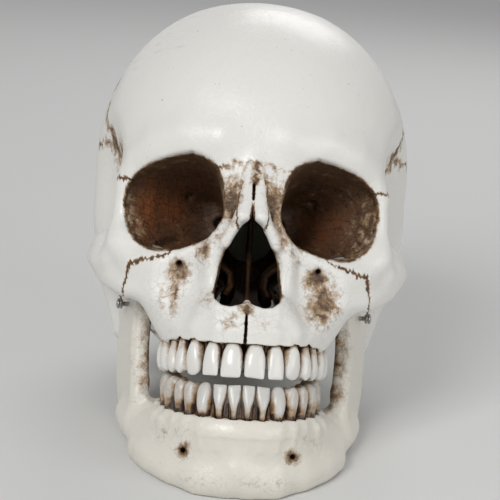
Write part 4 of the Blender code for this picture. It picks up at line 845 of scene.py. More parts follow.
def gum_forms(grid, bone, row):
    """The gum around a row of teeth: root bulges, a square edge, webs and pockets."""
    _, y, z = grid
    edge = (z - row["gum"](y)) * row["way"]
    plan, neck, pockets = gum_plan(grid, row["arch"], row["edge"]), row["neck"], None
    for table, (width, depth, tall), crown, inverse in row["frames"]:
        u, v, w = own_place(grid, inverse)
        root = 0.36 * width
        at = -row["way"] * (0.26 * depth + 0.10 * BAR)
        ends = (0, at, -0.16 * BAR - root), (0, at * 0.7, -1.15 * BAR)
        bone = union(bone, bar((u, v, w), *ends, root, 0.6 * root), 0.22 * BAR)
        grown = np.clip(neck + 0.36 * w / WEB_HEIGHT, neck, 1.1) * 0.5
        heights, widths = np.array(table[2:8])[:, :2].T
        drawn = 0.5 * crown * np.interp(w / tall, heights, widths)
        wide, deep = np.minimum(grown * width, drawn) + POCKET_ROOM, 0.46 * depth + POCKET_ROOM
        ring = (np.sqrt((u / wide) ** 2 + (v / deep) ** 2) - 1) * wide
        pocket = np.maximum(ring, -SOCKET_REACH - w)
        pockets = pocket if pockets is None else np.minimum(pockets, pocket)
    ledge = common(plan, np.maximum(edge, -edge - 0.6 * BAR), 0.06 * BAR)
    bone = union(bone, ledge, 0.22 * BAR)
    web = np.maximum.reduce([plan + row["edge"] - WEB_HALF, edge - row["web"], -edge - WEB_HALF])
    bone = union(bone, web, 0.08 * BAR)
    near = np.maximum.reduce([pockets, plan + RIM_WALL, -0.4 * BAR - bone])
    return cut(bone, near, 0.04 * BAR)


def worn(grid, amount):
    """The unevenness of a cast and handled surface."""
    return amount * (0.6 * ripple(grid, 0.014, 1) + 0.4 * ripple(grid, 0.0055, 2))


def above_rest(grid):
    """Height over the surface that the skull lies on."""
    return grid[2] * math.cos(LAY_BACK) - grid[1] * math.sin(LAY_BACK) + REST_PLACE[2]


def fine_skull(grid):
    """The finished skull, just inside the plain one."""
    skull = base_masses(grid, face_masses(grid, braincase(grid)))
    skull = union(skull, chain(grid, TEMPORAL_CREST_SHARES), 0.5 * BAR)
    skull = skull_hollows(grid, gum_forms(grid, skull, UPPER_ROW))
    skull = cut(skull, chain(grid, FORAMEN_FUNNEL_SHARES), 0.28 * BAR)
    skull = union(skull, chain(grid, SPINE_SHARES), 0.2 * BAR)
    skull = union(skull, ellipsoid(grid, *SPINE_KNOB_SHARES), 0.10 * BAR)
    for shares in (LOWER_FISSURE_SHARES, UPPER_FISSURE_SHARES, OPTIC_SHARES, TEAR_GROOVE_SHARES):
        skull = cut(skull, chain(grid, shares), 0.12 * BAR)
    skull = cut(skull, chain(grid, BROW_NOTCH_SHARES), 0.06 * BAR)
    for shares in (NOSE_SLIT_SHARES, GUM_SLIT_SHARES):
        skull = cut(skull, slit(grid, shares, SLIT_HALF), 0.02 * BAR)
    low = np.clip((-0.2 * BAR - grid[2] + 0.12 * DROP) / BAR, 0, 1)
    rough = np.clip(-orbit(grid, 0.08 * BAR) / (0.1 * BAR), 0, 1) * low
    skull = skull + worn(grid, WEAR) + rough * 0.0005 * ripple(grid, 0.0022, 5)
    return np.maximum(skull + SKIN, SKIN - above_rest(grid))


def fine_jaw(grid):
    """The finished jaw, just inside the plain one."""
    jaw = gum_forms(grid, jaw_field(grid), LOWER_ROW)
    jaw = union(jaw, chain(grid, CHIN_EDGE_SHARES), 0.8 * BAR)
    rough = np.clip(-ellipsoid(grid, *ROUGH_JAW_SHARES) / (0.4 * BAR), 0, 1)
    jaw = jaw + worn(grid, WEAR) + rough * 0.0007 * ripple(grid, 0.0026, 7)
    return np.maximum(jaw + SKIN, SKIN - above_rest(grid))


# Meshing of the fine forms

BLOCK = 8  # cells along a block
CHUNK = 60000  # places worked out at once
NEAR_SHARE = 0.56  # of a block, within which a sample makes the block worth sampling in full


def in_chunks(field, spots):
    """A field at many places, worked out side by side."""
    parts = np.array_split(np.asarray(spots, np.float32), max(1, len(spots) // CHUNK))
    with ThreadPoolExecutor(max_workers=4) as pool:
        found = list(pool.map(lambda part: field(list(np.ascontiguousarray(part.T))), parts))
    return np.concatenate(found).astype(np.float32)


def windows(values, pick):
    """The least or greatest of the samples that each block spans."""
    for axis in range(3):
        values = np.moveaxis(values, axis, 0)
        values = pick(pick(values[:-2:2], values[1:-1:2]), values[2::2])
        values = np.moveaxis(values, 0, axis)
    return values


def grid_of(counts, first, size):
    axes = [(np.arange(count) + start) * size for count, start in zip(counts, first)]
    return np.stack(np.meshgrid(*axes, indexing="ij"), -1).reshape(-1, 3)


def outward(points, faces):
    """The faces of a closed form, all turned to look outwards."""
    a, b, c = (points[faces[:, i]].astype(float) for i in range(3))
    return faces if (np.cross(a, b) * c).sum() > 0 else faces[:, ::-1]


def surface_all(field, low, high, cell, adaptivity=0.0):
    """The zero surface of a field that is mirrored at X = 0, as points and triangles.

    Only the blocks that the surface passes are sampled in full.
    """
    size = BLOCK * cell
    first = np.array([0, math.floor(low[1] / size), math.floor(low[2] / size)])
    counts = np.array([math.ceil(b / size) for b in high]) - first
    samples = 2 * counts + 1
    coarse = in_chunks(field, grid_of(samples, 2 * first, size / 2)).reshape(samples)
    least = windows(np.abs(coarse), np.minimum)
    most = windows(coarse, np.maximum)
    near = least < NEAR_SHARE * size
    blocks = np.argwhere(near)
    inner = grid_of((BLOCK, BLOCK, BLOCK), (0, 0, 0), 1)
    starts = (blocks + first) * BLOCK
    cells = (starts[:, None] + inner).reshape(-1, 3)
    values = in_chunks(field, cells * cell).reshape(-1, BLOCK, BLOCK, BLOCK)
    volume = openvdb.FloatGrid(background=float(size))
    last = BLOCK - 1
    for x, y, z in ((np.argwhere(~near & (most < 0)) + first) * BLOCK).tolist():
        for start in (x, -x - last):
            ends = (start, y, z), (start + last, y + last, z + last)
            volume.fill(*ends, -float(size), active=False)
    for (x, y, z), part in zip(starts.tolist(), values):
        volume.copyFromArray(part, ijk=(x, y, z))
        volume.copyFromArray(np.ascontiguousarray(part[::-1]), ijk=(-x - last, y, z))
    points, triangles, quads = volume.convertToPolygons(isovalue=0.0, adaptivity=adaptivity)
    faces = [triangles, quads[:, [0, 1, 2]], quads[:, [0, 2, 3]]]
    points = (points * cell).astype(np.float32)
    return points, outward(points, np.concatenate(faces).astype(np.int64))


def surface(field, low, high, cell, adaptivity=0.0):
    """The largest closed surface among them."""
    return largest(*surface_all(field, low, high, cell, adaptivity))


def joined_labels(count, edges):
    """For each vertex the least number of the vertices that it hangs together with."""
    lowest = np.arange(count)
    first, second = edges.T
    while True:
        before = lowest
        lowest = lowest.copy()
        least = np.minimum(lowest[first], lowest[second])
        np.minimum.at(lowest, first, least)
        np.minimum.at(lowest, second, least)
        lowest = lowest[lowest]
        lowest = lowest[lowest]
        if (lowest == before).all():
            return lowest


def edges_of(faces):
    pairs = np.concatenate([faces[:, [0, 1]], faces[:, [1, 2]], faces[:, [2, 0]]])
    return pairs[pairs[:, 0] < pairs[:, 1]]


def compact(points, faces, *values):
    """Only the points that faces use, with their faces and values renumbered."""
    used = np.zeros(len(points), bool)
    used[faces] = True
    index = np.cumsum(used) - 1
    return points[used], index[faces], *(value[used] for value in values)


def largest(points, faces):
    labels = joined_labels(len(points), edges_of(faces))
    best = np.bincount(labels).argmax()
    return compact(points, faces[labels[faces[:, 0]] == best])


def normals_of(points, faces):
    a, b, c = (points[faces[:, i]] for i in range(3))
    across = np.cross(b - a, c - a)
    found = np.stack(
        [np.bincount(faces.ravel(), np.repeat(across[:, i], 3), len(points)) for i in range(3)], -1
    )
    return (found / np.maximum(np.linalg.norm(found, axis=1), 1e-20)[:, None]).astype(np.float32)


def tilted(vectors):
    c, s = math.cos(LAY_BACK), math.sin(LAY_BACK)
    x, y, z = vectors.T
    return np.stack([x, y * c + z * s, z * c - y * s], -1)


def laid_back(points):
    """Places of the upright frame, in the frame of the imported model."""
    return (tilted(points) + np.array(REST_PLACE)).astype(np.float32)


def turned_back(vectors):
    """Directions of the upright frame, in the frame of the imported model."""
    return tilted(vectors).astype(np.float32)


def ring_faces(rings, around):
    """Triangles over rings of points, closed by a point before the first and one past the last."""
    low, ring = np.arange(rings - 1)[:, None] * around, np.arange(around)
    after, last = (ring + 1) % around, (rings - 1) * around
    first, top = (np.full(around, rings * around + end) for end in (0, 1))
    return np.concatenate([
        np.stack([low + ring, low + after, low + after + around], -1).reshape(-1, 3),
        np.stack([low + ring, low + after + around, low + ring + around], -1).reshape(-1, 3),
        np.stack([after, ring, first], -1),
        np.stack([last + ring, last + after, top], -1),
    ])


def linked(context, name, data):
    """A new object of the scene."""
    obj = bpy.data.objects.new(name, data)
    context.scene.collection.objects.link(obj)
    return obj


def mesh_object(name, points, faces, normals=None, **values):
    """A smooth mesh object from triangles, with a value of each name at each point."""
    mesh = bpy.data.meshes.new(name)
    mesh.vertices.add(len(points))
    mesh.vertices.foreach_set("co", np.ascontiguousarray(points, np.float32).ravel())
    mesh.loops.add(faces.size)
    mesh.loops.foreach_set("vertex_index", faces.astype(np.int32).ravel())
    mesh.polygons.add(len(faces))
    mesh.polygons.foreach_set("loop_start", np.arange(0, faces.size, 3, dtype=np.int32))
    mesh.update(calc_edges=True)
    for key, value in values.items():
        layer = mesh.attributes.new(key, "FLOAT", "POINT")
        layer.data.foreach_set("value", np.ascontiguousarray(value, np.float32))
    mesh.shade_smooth()
    if normals is not None:
        mesh.normals_split_custom_set_from_vertices(normals.astype(np.float32))
    return linked(bpy.context, name, mesh)


# Patina and painted shade: how brown each place is, from its shelter and from the washes of colour
# on the face, with painted shade in the sockets' roofs and around the small openings

# Where it is, how far it spreads, and how strong it is on the left and on the right
WASH_SHARES = (
    ((0.275, -0.86, -0.160), (0.055, 0.16, 0.045), 0.98, 0.86),
    ((0.308, -0.88, -0.255), (0.075, 0.14, 0.095), 0.98, 0.30),
    ((0.285, -0.88, -0.220), (0.020, 0.12, 0.120), 0.50, 0.92),
    ((0.180, -0.88, -0.080), (0.040, 0.12, 0.080), 0.40, 0.60),
    ((0.150, -0.90, -0.290), (0.045, 0.12, 0.060), 0.25, 0.45),
    ((0.060, -0.96, -0.370), (0.050, 0.08, 0.050), 0.40, 0.66),
    ((0.080, -0.92, 0.110), (0.044, 0.10, 0.110), 1.0, 0.96),
    ((0.118, -0.87, 0.020), (0.046, 0.11, 0.100), 1.0, 0.86),
    ((0.190, -0.86, -0.020), (0.060, 0.12, 0.030), 0.85, 0.55),
    ((0.090, -0.87, 0.235), (0.060, 0.08, 0.020), 0.34, 0.34),
    ((0.006, -0.97, 0.225), (0.024, 0.10, 0.050), 0.56, 0.56),
    ((0.000, -0.98, -0.315), (0.035, 0.10, 0.035), 0.85, 0.85),
    ((0.515, -0.66, 0.235), (0.040, 0.06, 0.022), 0.55, 0.60),
    ((0.575, -0.52, 0.330), (0.050, 0.14, 0.130), 0.55, 0.75),
    ((0.440, -0.74, -0.120), (0.030, 0.08, 0.030), 0.25, 0.10),
    ((0.350, -0.50, -0.560), (0.075, 0.16, 0.065), 0.92, 0.70),
    ((0.370, -0.42, -0.400), (0.070, 0.12, 0.240), 0.60, 0.60),
    ((0.330, -0.52, -0.350), (0.080, 0.16, 0.100), 0.70, 0.70),
    ((0.120, -0.90, -0.975), (0.140, 0.08, 0.035), 0.30, 0.24),
    ((0.260, -0.80, -0.790), (0.160, 0.16, 0.040), 0.22, 0.26),
)
# Warm red-brown in the sockets: its middle, its spread and its strength
RUDDY_SHARES = (
    ((-0.455, -0.66, 0.140), (0.075, 0.18, 0.130), 1.0),
    ((-0.340, -0.50, 0.160), (0.080, 0.20, 0.080), 0.55),
    ((0.330, -0.45, 0.120), (0.100, 0.20, 0.090), 0.40),
)
# How far off the bone around a place is felt, and how much each reach counts
SHELTER_REACHES = (0.0012, 0.0035, 0.009)
SHELTER_PARTS = (0.30, 0.35, 0.35)


def shelter(field, points, normals):
    """How far each place is closed in by the bone around it, from 0 in the open to 1."""

    def gap(reach):
        return in_chunks(lambda grid: field(even(grid)), points + normals * reach)

    near = SHELTER_REACHES[0] / 4
    rise = np.clip((gap(near) - gap(-near)) / (2 * near), 0.3, 2.0)
    total = 0
    for reach, part in zip(SHELTER_REACHES, SHELTER_PARTS):
        total = total + part * (1 - np.clip(gap(reach) / (reach * rise), 0, 1))
    return total


def haze(grid, centre_shares, spread_shares):
    """A soft spot, 1 in its middle."""
    steps = [(v - c) / s for v, c, s in zip(grid, place(centre_shares), place(spread_shares))]
    return np.exp(-sum(step**2 for step in steps))


def washes(grid):
    total = 0
    for centre, spread, left, right in WASH_SHARES:
        strength = np.where(grid[0] < 0, right, left)
        total = np.maximum(total, strength * haze(even(grid), centre, spread))
    return total


# A dark crack that winds up from between the brows, across and up, and how far it spreads
BROW_CRACK_SHARES = (
    *((0.0, 0.180), (0.014, 0.200), (-0.004, 0.216)),
    *((0.016, 0.234), (0.002, 0.252), (0.012, 0.272)),
)
CRACK_HALF = 0.0004
FRONT_SHARE = -0.6  # how far forward the marks of the face begin


def brow_crack(grid):
    x, y, z = grid
    spots = corners_of(SPAN, DROP, BROW_CRACK_SHARES)
    bars = [
        bar((x, 0 * y, z), (a, 0, b), (c, 0, d), 0, 0)
        for (a, b), (c, d) in zip(spots, spots[1:])
    ]
    near = soft_step(2.5 * CRACK_HALF, 0.8 * CRACK_HALF, np.minimum.reduce(bars))
    return near * (y < FRONT_SHARE * DEPTH)


def hollow_depth(grid, forwards):
    """Whether a place is inside an eye socket or the nose, and how deep, each as a share."""
    grid = x, y, z = even(grid)
    past_rim = y - socket_rim(x)
    turned = soft_step(0.86, 0.50, forwards)
    eye = soft_step(0.17 * BAR, 0.06 * BAR, orbit(grid))
    eye = eye * soft_step(-1.1 * BAR, -0.6 * BAR, past_rim)
    past_sill = y - (-0.93 * DEPTH + 0.25 * np.maximum(z, 0))
    turned = turned * soft_step(-0.5 * BAR, 0.0, past_sill)
    behind = np.maximum(soft_step(0.2 * BAR, 0.8 * BAR, past_sill), turned)
    nose = soft_step(0.30 * BAR, 0.08 * BAR, nasal_hollow(grid)) * behind
    nose = nose * soft_step(-0.44 * DROP, -0.36 * DROP, z)
    pits = np.minimum.reduce([chain(grid, shares) for shares in DARK_PITS])
    pit = soft_step(0.45 * BAR, 0.05 * BAR, pits) * soft_step(-0.66 * DEPTH, -0.56 * DEPTH, y)
    inside = np.maximum(np.maximum(eye, nose), pit)
    deep_eye = eye * soft_step(-0.1 * BAR, 1.5 * BAR, past_rim)
    deep_nose = nose * soft_step(-0.2 * BAR, 0.5 * BAR, past_sill)
    return inside, np.maximum.reduce([deep_eye, deep_nose, pit])


def gum_stain(grid, closed, row):
    """Brown in the pockets around the teeth and on the webs, and none on the gum's face."""
    grid = _, y, z = even(grid)
    nearest = 1.0
    for _, (width, depth, _), _, inverse in row["frames"]:
        u, v, w = own_place(grid, inverse)
        ring = (np.sqrt((u / width) ** 2 + (v / depth) ** 2) - 0.5) * min(width, depth)
        nearest = np.minimum(nearest, np.maximum(ring, -0.13 * BAR - w))
    within = soft_step(-0.02 * BAR, -0.07 * BAR, gum_plan(grid, row["arch"], row["edge"]))
    over = soft_step(0.0, 0.04 * BAR, (z - row["gum"](y)) * row["way"])
    near = soft_step(0.16 * BAR, 0.06 * BAR, nearest)
    return near * within * np.maximum(over, soft_step(0.04, 0.24, closed))


# The small openings under the sockets and in the chin, across and up, and how far the painted shade
# around them spreads
OPENINGS_SHARES = ((0.272, -0.142), (0.213, -0.862))
OPENING_SHADE = 0.0030


def opening_shade(grid):
    """Painted shade: a dark brown ring around the small openings of the face, where their shadow
    falls.
    """
    x, y, z = even(grid)
    spots = corners_of(SPAN, DROP, OPENINGS_SHARES)
    gaps = [((x - u) ** 2 + (z - v) ** 2) / OPENING_SHADE**2 for u, v in spots]
    return np.exp(-np.minimum.reduce(gaps)) * (y < FRONT_SHARE * DEPTH)


def patina(field, row, points, normals):
    """The brown of crevices and washes, and the deep brown of sockets and hollows, with painted
    shade under the sockets' roofs and around the small openings.
    """
    closed = shelter(field, points, normals)
    grid = list(points.T)
    inside, deep = hollow_depth(grid, -normals[:, 1])
    crevice = soft_step(0.22, 0.66, closed)
    gums = gum_stain(grid, closed, row)
    # Painted shade: inside the sockets the brown grows towards their roof, which lies in the brow's
    # shadow
    roof = soft_step(0.12 * DROP, 0.26 * DROP, points[:, 2])
    wall = (0.70 + 0.24 * np.maximum(deep, roof)) * inside
    # Painted shade around the small openings, in both the brown and the dark
    hole_shade = opening_shade(grid)
    stains = [0.85 * crevice, washes(grid), wall, gums, 0.9 * brow_crack(grid), 0.95 * hole_shade]
    darks = [deep * (0.6 + 0.4 * closed), 0.45 * gums, 0.75 * hole_shade]
    return tuple(np.clip(np.maximum.reduce(parts), 0, 1) for parts in (stains, darks))


# Bones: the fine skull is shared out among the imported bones, with jagged borders

BONES = ("frontal_bone", "occipital_bone", "sphenoid_bone")
PAIRED_BONES = ("parietal_bone", "temporal_bone", "zygomatic_bone", "maxilla", "nasal_bone")
SIDES = ("left", "right")
VAULT_JAG, FACE_JAG = 0.0019, 0.0005


def bone_names():
    return [*BONES, *(f"{bone}_{side}" for bone in PAIRED_BONES for side in SIDES)]


def nearest_bones(names, points):
    """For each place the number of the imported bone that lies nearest."""
    corners, faces, owners, start = [], [], [], 0
    for number, name in enumerate(names):
        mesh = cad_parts[name].data
        spots = np.empty(len(mesh.vertices) * 3, np.float32)
        mesh.vertices.foreach_get("co", spots)
        corners += spots.reshape(-1, 3).tolist()
        faces += [[start + index for index in face.vertices] for face in mesh.polygons]
        owners += [number] * len(mesh.polygons)
        start += len(mesh.vertices)
    tree = BVHTree.FromPolygons(corners, faces)
    return np.array([owners[tree.find_nearest(spot)[2]] for spot in points.tolist()])


def jagged(points):
    """The places, shaken so that borders drawn between them look like sutures."""
    vault = soft_step(0.30 * DROP, 0.55 * DROP, points[:, 2] + 0.25 * np.maximum(points[:, 1], 0))
    reach = FACE_JAG + (VAULT_JAG - FACE_JAG) * vault
    grid = list(points.T)
    shifts = [
        ripple(grid, 0.0042, 11 + axis) + 0.4 * ripple(grid, 0.0021, 17 + axis)
        for axis in range(3)
    ]
    straight = np.clip(np.abs(points[:, 0]) / 0.004, 0, 1)
    shifts[0] = shifts[0] * np.where(points[:, 2] < 0.3 * DROP, straight, 1)
    return points + np.stack(shifts, -1) * reach[:, None]


def settled(labels, edges, kinds, rounds):
    """Labels after each place has taken, a few times, what most of its neighbours hold."""
    own, room = np.arange(len(labels)) * kinds, len(labels) * kinds
    for _ in range(rounds):
        counts = np.bincount(labels + own, minlength=room)
        for a, b in (edges.T, edges.T[::-1]):
            counts += np.bincount(a * kinds + labels[b], minlength=room)
        labels = counts.reshape(-1, kinds).argmax(1)
    return labels


LEAST_PATCH = 300  # points of a bone's patch, before it is given to its neighbour
PATCH_ROUNDS = 40  # in each of them a patch shrinks by one point all round


def without_islands(labels, edges, least):
    """Small patches of one label take the label of what they touch."""
    same = edges[labels[edges[:, 0]] == labels[edges[:, 1]]]
    patches = joined_labels(len(labels), same)
    sizes = np.bincount(patches, minlength=len(labels))
    small = sizes[patches] < least
    labels = labels.copy()
    for _ in range(PATCH_ROUNDS):
        for a, b in (edges.T, edges.T[::-1]):
            passes = small[a] & ~small[b]
            labels[a[passes]] = labels[b[passes]]
            small[a[passes]] = False
        if not small.any():
            break
    return labels


def piece_of(name, points, faces, normals, body, material, slot, nodes, **values):
    """One visible piece with its finish, on its body and in the place of its nodes."""
    obj = mesh_object(name, points, faces, normals, **values)
    obj.data.materials.append(material)
    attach(obj, body)
    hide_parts(*nodes)


# Teeth


def smooth_rows(table, steps):
    """More rows between a table's rows, along a smooth curve through them."""
    rows = np.array([table[0], *table, table[-1]], float)
    found = []
    for a, b, c, d in zip(rows, rows[1:], rows[2:], rows[3:]):
        square, cube = a - 2.5 * b + 2 * c - d / 2, 1.5 * (b - c) + (d - a) / 2
        for t in np.arange(steps) / steps:
            found.append(b + (c - a) * t / 2 + square * t**2 + cube * t**3)
    return np.array([*found, rows[-1]])


CUSP_SHARES = {
    "premolar": (((0.0, 0.46), 1.0), ((0.0, -0.46), 0.8)),
    "molar": (
        *(((0.42, 0.44), 1.0), ((-0.42, 0.44), 1.0)),
        *(((0.42, -0.44), 0.85), ((-0.42, -0.44), 0.9)),
    ),
}
AROUND = 32  # points around a tooth
LEAN_SWAY, TURN_SWAY = 0.035, 0.06  # how far teeth stray sideways and about themselves, in radians


def tooth_stain(kind, shown, across, forward):
    """How brown a tooth is at its root, towards its neighbours and on its inner side."""
    neck = 0.22 if kind in ("upper_incisor", "canine") else 0.44
    foot = 1 - soft_step(0, 0.12, shown)
    root = 1 - soft_step(0.35 * neck, 1.05 * neck, shown)
    between = soft_step(0.66, 0.98, np.abs(across)) * (1 - 0.7 * soft_step(neck, 0.95, shown))
    inwards = soft_step(0.2, -0.6, forward) * (1 - 0.4 * soft_step(neck, 0.9, shown))
    return np.clip(0.40 * root + 0.62 * between + 0.5 * foot + 0.35 * inwards, 0, 1)


def tooth_form(kind, table, size, front, seed):
    """A tooth that stands on its gum at zero: its points, its faces and how brown they are."""
    width, depth, tall = size
    rows = smooth_rows(table, 3)
    turn = 2 * math.pi * np.arange(AROUND) / AROUND
    power = 2 / (2.5 if kind in CUSP_SHARES else 2.25)
    c = np.sign(np.cos(turn)) * np.abs(np.cos(turn)) ** power
    s = np.sign(np.sin(turn)) * np.abs(np.sin(turn)) ** power
    heights = np.where(rows[:, 0] < 0, rows[:, 0] * PEG_LENGTH, rows[:, 0] * tall)
    narrow = 1 - 0.16 * np.clip(-s * front, 0, 1) if kind not in CUSP_SHARES else 1
    x = rows[:, 1:2] * width / 2 * c * narrow
    y = rows[:, 2:3] * depth / 2 * s + front * rows[:, 3:4] * depth
    z = np.repeat(heights[:, None], AROUND, 1)
    shown = np.clip(rows[:, 0:1], 0, 1)
    if kind in CUSP_SHARES:
        crown = soft_step(0.80, 0.93, shown)
        u, v = 2 * x / width, 2 * y / depth
        bumps = 0
        for (cx, cy), rise in CUSP_SHARES[kind]:
            bumps = np.maximum(bumps, rise * np.exp(-((u - cx) ** 2 + (v - cy) ** 2) / 0.16))
        z = z + crown * tall * (0.085 * bumps - 0.03)
        groove = np.exp(-((u / 0.22) ** 2)) * soft_step(0.35, 0.7, shown) * (1 - crown)
        y = y * (1 - 0.05 * groove)
    else:
        z = z + 0.035 * width * np.sin(2.2 * x / width + 1.3 * seed) * soft_step(0.8, 1.0, shown)
        lobes = np.cos(7.0 * x / width + seed) * soft_step(0.5, 0.9, shown) * (s * front > 0)
        y = y + front * 0.010 * depth * lobes
    if kind == "molar":
        split = np.exp(-((2 * x / width / 0.35) ** 2)) * soft_step(0.42, 0.0, shown)
        y = y * (1 - 0.10 * split)
    points = np.stack([x, y, z], -1).reshape(-1, 3)
    grid = list(points.T)
    bumpy = 0.00010 * ripple(grid, 0.0028, 31 + seed)
    points[:, :2] *= 1 + bumpy[:, None] / (width / 2)
    ends = np.array([[0, 0, heights[0]], [0, front * rows[-1, 3] * depth, z[-1].mean()]])
    faces = ring_faces(len(rows), AROUND)
    points = np.concatenate([points, ends])
    brown = tooth_stain(kind, shown, c, s * front)
    if kind in CUSP_SHARES:
        inner = soft_step(0.62, 0.2, np.sqrt(u**2 + v**2)) * crown
        brown = np.maximum(brown, 0.45 * inner)
    return points, faces, np.append(brown.ravel(), (1.0, 0.2))


def kind_of(name, upper):
    if "incisor" in name:
        return "upper_incisor" if upper else "lower_incisor"
    return "canine" if "canine" in name else name.split("_")[1]


def sway(seed, axis):
    """How a tooth strays about one of its axes, between -1 and 1."""
    return float(hashed(np.array([seed]), np.array([axis]), np.array([3]), 5)[0])


def make_teeth(jaw_name, row, material, body):
    """The teeth of one jaw. Each leans and turns a little in its own way."""
    upper = row["way"] < 0
    for number, (tooth, table, size, crown, matrix) in enumerate(tooth_places(row)):
        kind = kind_of(tooth, upper)
        # Painted shade and patina: lower teeth, in the upper jaw's shadow, and back teeth, deeper
        # in the mouth, start browner
        dull = (0 if upper else 0.17) + (0.14 if kind in CUSP_SHARES else 0)
        for side, side_name in ((1, "left"), (-1, "right")):
            name = f"{jaw_name}_{tooth}_{side_name}"
            seed = 2 * number + (side < 0) + (0 if upper else 40)
            drawn = (crown, *size[1:])
            points, faces, brown = tooth_form(kind, table, drawn, -row["way"], seed)
            own = Matrix.Rotation(LEAN_SWAY * sway(seed, 0), 4, "Y")
            own = own @ Matrix.Rotation(TURN_SWAY * sway(seed, 1), 4, "Z")
            local = np.array(matrix @ own, float)
            spots = points @ local[:3, :3].T + local[:3, 3]
            spots = laid_back(spots * np.array((side, 1, 1)))
            faces, brown = outward(spots, faces), np.clip(brown + dull, 0, 1)
            piece_of(
                name + "_enamel", spots, faces, None, body, material, "teeth", [name], stain=brown
            )


# The septum and the scrolls of the nose


def septum_field(grid):
    x, y, z = grid
    flat = outline(y, z, corners_of(DEPTH, DROP, SEPTUM_SHARES))
    bend = 0.0005 * ripple((0 * x, y, z), 0.009, 21)
    wall = plate(flat, x - bend, SEPTUM_THICKNESS / 2, 0.4 * SEPTUM_THICKNESS)
    return wall + worn(grid, 0.0001)


def concha_field(grid):
    x, y, z = grid
    front, back = (share * DEPTH for share in CONCHA_ENDS_SHARES)
    along = (y - front) / (back - front)
    bow = 0.06 * BAR * np.sin(math.pi * np.clip(along, 0, 1))
    drop = bow - 0.16 * BAR * soft_step(0.25, 0.0, along)
    flat = outline(x, z - drop, corners_of(SPAN, DROP, CONCHA_SHARES))
    flat = flat + 0.05 * BAR - 0.10 * BAR * soft_step(0.0, 0.5, along)
    roll = plate(flat, y - (front + back) / 2, (back - front) / 2, 0.10 * BAR)
    return roll + 0.00035 * ripple(grid, 0.0030, 23)


# Springs and screws

EYE_RADIUS = SCREW_RADIUS + FIT + WIRE / 2
TURN_STEPS = 24  # of the wire around one turn
SCREW_SIDES = 32


def tube(points, radius, sides=12):
    """A round tube along a line of points, as points and triangles."""
    points = np.array(points, float)
    ways = np.gradient(points, axis=0)
    ways /= np.linalg.norm(ways, axis=1)[:, None]
    normal = np.cross(ways[0], (1.0, 0.3, 0.2))
    rings = []
    turn = 2 * math.pi * np.arange(sides) / sides
    for spot, way in zip(points, ways):
        normal = normal - way * normal.dot(way)
        normal /= np.linalg.norm(normal)
        side = np.cross(way, normal)
        around = np.cos(turn)[:, None] * normal + np.sin(turn)[:, None] * side
        rings.append(spot + radius * around)
    spots = np.concatenate([*rings, points[:1], points[-1:]])
    return spots, ring_faces(len(points), sides)


def spring_line():
    """The wire's middle line: an eye round the lower screw, the coil, and the upper eye."""
    _, y, z = place((0, *SPRING_FOOT_SHARES))
    foot = Vector((SPRING_SPREAD, y, z))
    up = Vector((0, -math.sin(LAY_BACK), math.cos(LAY_BACK)))
    side, across = Vector((1, 0, 0)), Vector((1, 0, 0)).cross(up)
    start = EYE_RADIUS + 2 * WIRE
    height = SPRING_LENGTH - 2 * start
    found = []

    def eye(middle, way, begin, end):
        for index in range(TURN_STEPS + 1):
            turn = begin + (end - begin) * index / TURN_STEPS
            lift = side * (WIRE * 0.6 * (index / TURN_STEPS - 0.5) * way)
            reach = across * math.sin(turn) - up * math.cos(turn)
            found.append(middle + reach * EYE_RADIUS + lift)

    eye(foot, 1, -0.7 * math.pi, math.pi)
    count = COIL_TURNS * TURN_STEPS
    for index in range(count + 1):
        share = index / count
        turn = 2 * math.pi * COIL_TURNS * share
        ease = min(share, 1 - share) * COIL_TURNS
        reach = COIL_RADIUS * float(soft_step(-0.15, 0.35, ease))
        spot = foot + up * (start + height * share)
        found.append(spot + (side * math.cos(turn) + across * math.sin(turn)) * reach)
    eye(foot + up * SPRING_LENGTH, -1, 0, 1.7 * math.pi)
    return [tuple(spot) for spot in found]


def prism(name, rings):
    """A closed mesh through rings of places, with a flat face at either end."""
    shape = bmesh.new()
    loops = [[shape.verts.new(spot) for spot in ring] for ring in rings]
    for low, high in zip(loops[:-1], loops[1:]):
        for index in range(len(low)):
            after = (index + 1) % len(low)
            shape.faces.new((low[index], low[after], high[after], high[index]))
    shape.faces.new(loops[0][::-1])
    shape.faces.new(loops[-1])
    bmesh.ops.recalc_face_normals(shape, faces=shape.faces)
    mesh = bpy.data.meshes.new(name)
    shape.to_mesh(mesh)
    shape.free()
    return mesh


def screw_form(length):
    """A pan-headed screw along +X with a thread."""
    profile = [(0.0, 0.25 * SCREW_RADIUS)]
    for index in range(int(length / THREAD_PITCH) * 2):
        radius = SCREW_RADIUS * (1.0 if index % 2 else 0.80)
        profile.append(((index + 1) * THREAD_PITCH / 2, radius))
    profile += [(length, SCREW_RADIUS), (length, 0.92 * HEAD_RADIUS)]
    profile.append((length + 0.00012, HEAD_RADIUS))
    rim, rise = length + HEAD_HEIGHT / 3, HEAD_HEIGHT * 2 / 3
    for t in np.linspace(0, 1.35, 7):
        profile.append((rim + rise * math.sin(t), HEAD_RADIUS * math.cos(t)))
    turns = [2 * math.pi * index / SCREW_SIDES for index in range(SCREW_SIDES)]
    return prism(
        "screw", [[(x, r * math.cos(t), r * math.sin(t)) for t in turns] for x, r in profile]
    )


def recess(length):
    """The cross-shaped cutter of a screw's recess."""
    wide, slim = 0.58 * HEAD_RADIUS, 0.15 * HEAD_RADIUS
    corners = []
    for c, s in ((1, 0), (0, 1), (-1, 0), (0, -1)):
        for y, z in ((slim, slim), (slim, wide), (-slim, wide)):
            corners.append((y * c - z * s, y * s + z * c))
    ends = (length + 0.55 * HEAD_HEIGHT, length + 1.55 * HEAD_HEIGHT)
    mesh = prism("recess", [[(x, y, z) for y, z in corners] for x in ends])
    return linked(bpy.context, "recess", mesh)


# Finishes


